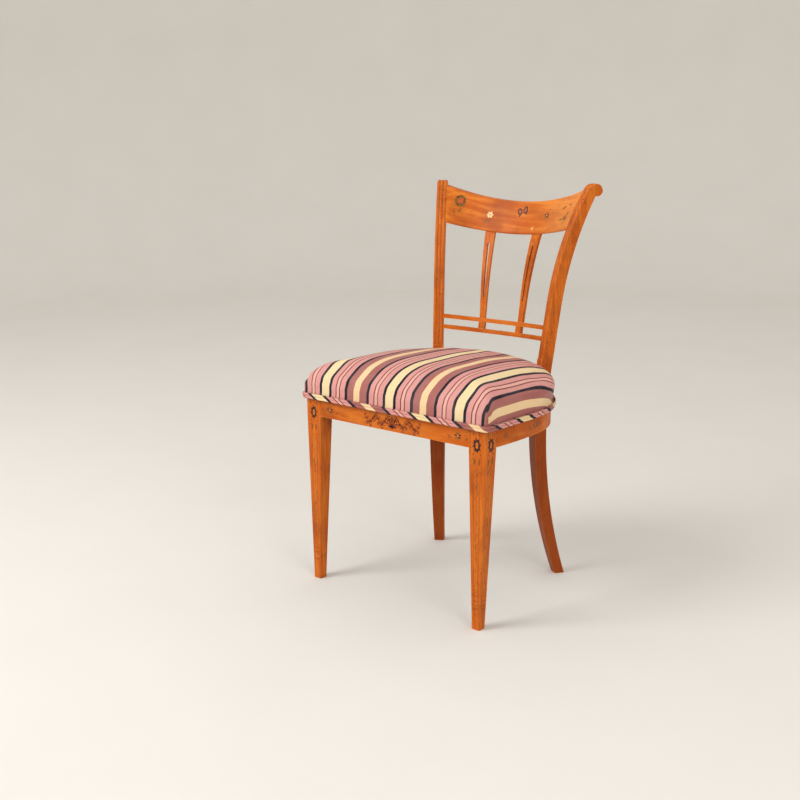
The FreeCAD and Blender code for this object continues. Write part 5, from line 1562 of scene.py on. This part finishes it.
class CHAIR_OT_wood_finish(bpy.types.Operator):
    """Glazed and worn finish of all painted wood, with painted shade and painted highlights"""
    bl_idname = "chair.wood_finish"
    bl_label = "Wood finish"

    def execute(self, context):
        legs = wood_material("glazed_legs", (1.0, 1.0, 0.07), 62.0, 0.36)
        # The posts take painted shade below the seat, and the strongest rubbed wear with painted highlight on their
        # edges.
        posts = wood_material("glazed_posts", (1.0, 1.0, 0.07), 58.0, 0.72, 0.70, 0.6, 1.0)
        rails = wood_material("glazed_rails", (0.10, 1.0, 0.9), 46.0, 0.16)
        sides = wood_material("glazed_side_rails", (1.0, 0.10, 0.9), 46.0, 0.16)
        # The crest's pale share paints a highlight of light across its right-hand part.
        crest = wood_material("glazed_crest", (0.08, 0.6, 0.9), 40.0, 0.14, thin=1.0, pale=0.34)
        cross = wood_material("glazed_cross_rails", (0.08, 0.6, 0.9), 40.0, 0.14)
        slim = wood_material("glazed_splats", (1.0, 1.0, 0.09), 70.0, 0.30)
        for node, material in (
                ("front_leg_right", legs), ("front_leg_left", legs), ("rear_post_right", posts),
                ("rear_post_left", posts), ("seat_rail_front", rails), ("seat_rail_right", sides),
                ("seat_rail_left", sides), ("seat_rail_back", rails), ("crest_rail", crest),
                ("cross_rail_lower", cross), ("cross_rail_upper", cross), ("splat_right", slim),
                ("splat_left", slim), ("spacer_block_right", slim), ("spacer_block_left", slim)):
            dress(node, material)
        return {"FINISHED"}


class CHAIR_OT_hidden_parts(bpy.types.Operator):
    """Sawn corner blocks and their screws"""
    bl_idname = "chair.hidden_parts"
    bl_label = "Hidden parts"

    def execute(self, context):
        bare = bare_wood_material()
        for node in ("corner_block_right", "corner_block_left", "glue_block_right", "glue_block_left"):
            dress(node, bare)
        dress("corner_block_screws", metal_material("screw_steel", context.scene.chair_underside.steel))
        return {"FINISHED"}


class CHAIR_OT_stage(bpy.types.Operator):
    """Pale floor and backdrop, soft lamps and the camera"""
    bl_idname = "chair.stage"
    bl_label = "Stage"

    def execute(self, context):
        scene = context.scene
        stage = scene.chair_stage
        profile = [(1.2, 0.0), (3.0, 0.0), (4.6, 0.0)]
        profile += [(4.6 + 1.6 * math.sin(turn), 1.6 - 1.6 * math.cos(turn))
                    for turn in [math.pi / 2 * k / 12 for k in range(1, 13)]]
        profile += [(6.2, 3.4)]
        around = 72
        points = [(0.0, 0.0, -0.0002)]
        for radius, height in profile:
            for k in range(around):
                angle = 2 * math.pi * k / around
                points.append((radius * math.cos(angle), radius * math.sin(angle), height - 0.0002))
        faces = [(0, 1 + k, 1 + (k + 1) % around) for k in range(around)]
        faces += ring_faces(len(profile), around, 1, flip=True)
        mesh = bpy.data.meshes.new("backdrop")
        mesh.from_pydata(points, [], faces)
        floor = bpy.data.objects.new("backdrop", mesh)
        scene.collection.objects.link(floor)
        smooth(floor)
        material, tree, surface = new_material("pale_floor")
        place = object_place(tree)
        dust = blotches(tree, place, 3.0, 4.0)
        tint = mixed(tree, maths(tree, "MULTIPLY", dust, 0.12), stage.floor, (0.42, 0.38, 0.33, 1.0))
        tree.links.new(tint, surface.inputs["Base Color"])
        surface.inputs["Roughness"].default_value = 0.9
        mesh.materials.append(material)
        world = bpy.data.worlds.new("soft_sky")
        world.use_nodes = True
        sky = world.node_tree.nodes["Background"]
        sky.inputs["Color"].default_value = stage.sky
        sky.inputs["Strength"].default_value = stage.sky_strength
        scene.world = world
        for name, place, size, power in (
                ("key_light", (-1.5, -2.9, 2.7), 1.9, stage.key), ("fill_light", (2.9, -1.5, 1.7), 1.6, stage.fill)):
            lamp = bpy.data.lights.new(name, "AREA")
            lamp.shape = "DISK"
            lamp.size = size
            lamp.energy = power
            item = bpy.data.objects.new(name, lamp)
            item.location = place
            aim = Vector((0.0, 0.0, 0.45)) - Vector(place)
            item.rotation_euler = aim.to_track_quat("-Z", "Y").to_euler()
            scene.collection.objects.link(item)
        camera = bpy.data.cameras.new("photo_camera")
        camera.lens = stage.lens
        camera.sensor_width = 36.0
        item = bpy.data.objects.new("photo_camera", camera)
        rotation = (
            Matrix.Rotation(stage.turn, 4, "Z") @ Matrix.Rotation(math.pi / 2 - stage.tilt, 4, "X")
            @ Matrix.Rotation(stage.roll, 4, "Z"))
        item.matrix_world = Matrix.Translation(Vector(stage.place)) @ rotation
        scene.collection.objects.link(item)
        scene.camera = item
        scene.view_settings.view_transform = "Standard"
        return {"FINISHED"}


ORDER = (
    CHAIR_OT_wood_finish, CHAIR_OT_hidden_parts, CHAIR_OT_seat_cushion, CHAIR_OT_welts, CHAIR_OT_webbing,
    CHAIR_OT_burlap, CHAIR_OT_dust_cover, CHAIR_OT_leg_ornament, CHAIR_OT_rail_ornament,
    CHAIR_OT_back_ornament, CHAIR_OT_stage)


class CHAIR_PT_tools(bpy.types.Panel):
    """The chair's pieces in the order that they are made"""
    bl_idname = "CHAIR_PT_tools"
    bl_label = "Side chair"
    bl_space_type = "VIEW_3D"
    bl_region_type = "UI"
    bl_category = "Side chair"

    def draw(self, context):
        for operator in ORDER:
            self.layout.operator(operator.bl_idname)


GROUPS = (
    (ChairWood, "chair_wood"), (ChairFabric, "chair_fabric"), (ChairUnderside, "chair_underside"),
    (ChairStage, "chair_stage"))


def register():
    for group, name in GROUPS:
        bpy.utils.register_class(group)
        setattr(bpy.types.Scene, name, bpy.props.PointerProperty(type=group))
    for operator in ORDER:
        bpy.utils.register_class(operator)
    bpy.utils.register_class(CHAIR_PT_tools)


def unregister():
    bpy.utils.unregister_class(CHAIR_PT_tools)
    for operator in reversed(ORDER):
        bpy.utils.unregister_class(operator)
    for group, name in reversed(GROUPS):
        delattr(bpy.types.Scene, name)
        bpy.utils.unregister_class(group)


def main():
    register()
    make_grain()
    make_edge_wear_and_highlight()
    make_specks()
    make_weave()
    make_stripes(bpy.context.scene.chair_fabric)
    for operator in ORDER:
        group, name = operator.bl_idname.split(".")
        getattr(getattr(bpy.ops, group), name)()


if __name__ == "__main__":
    main()
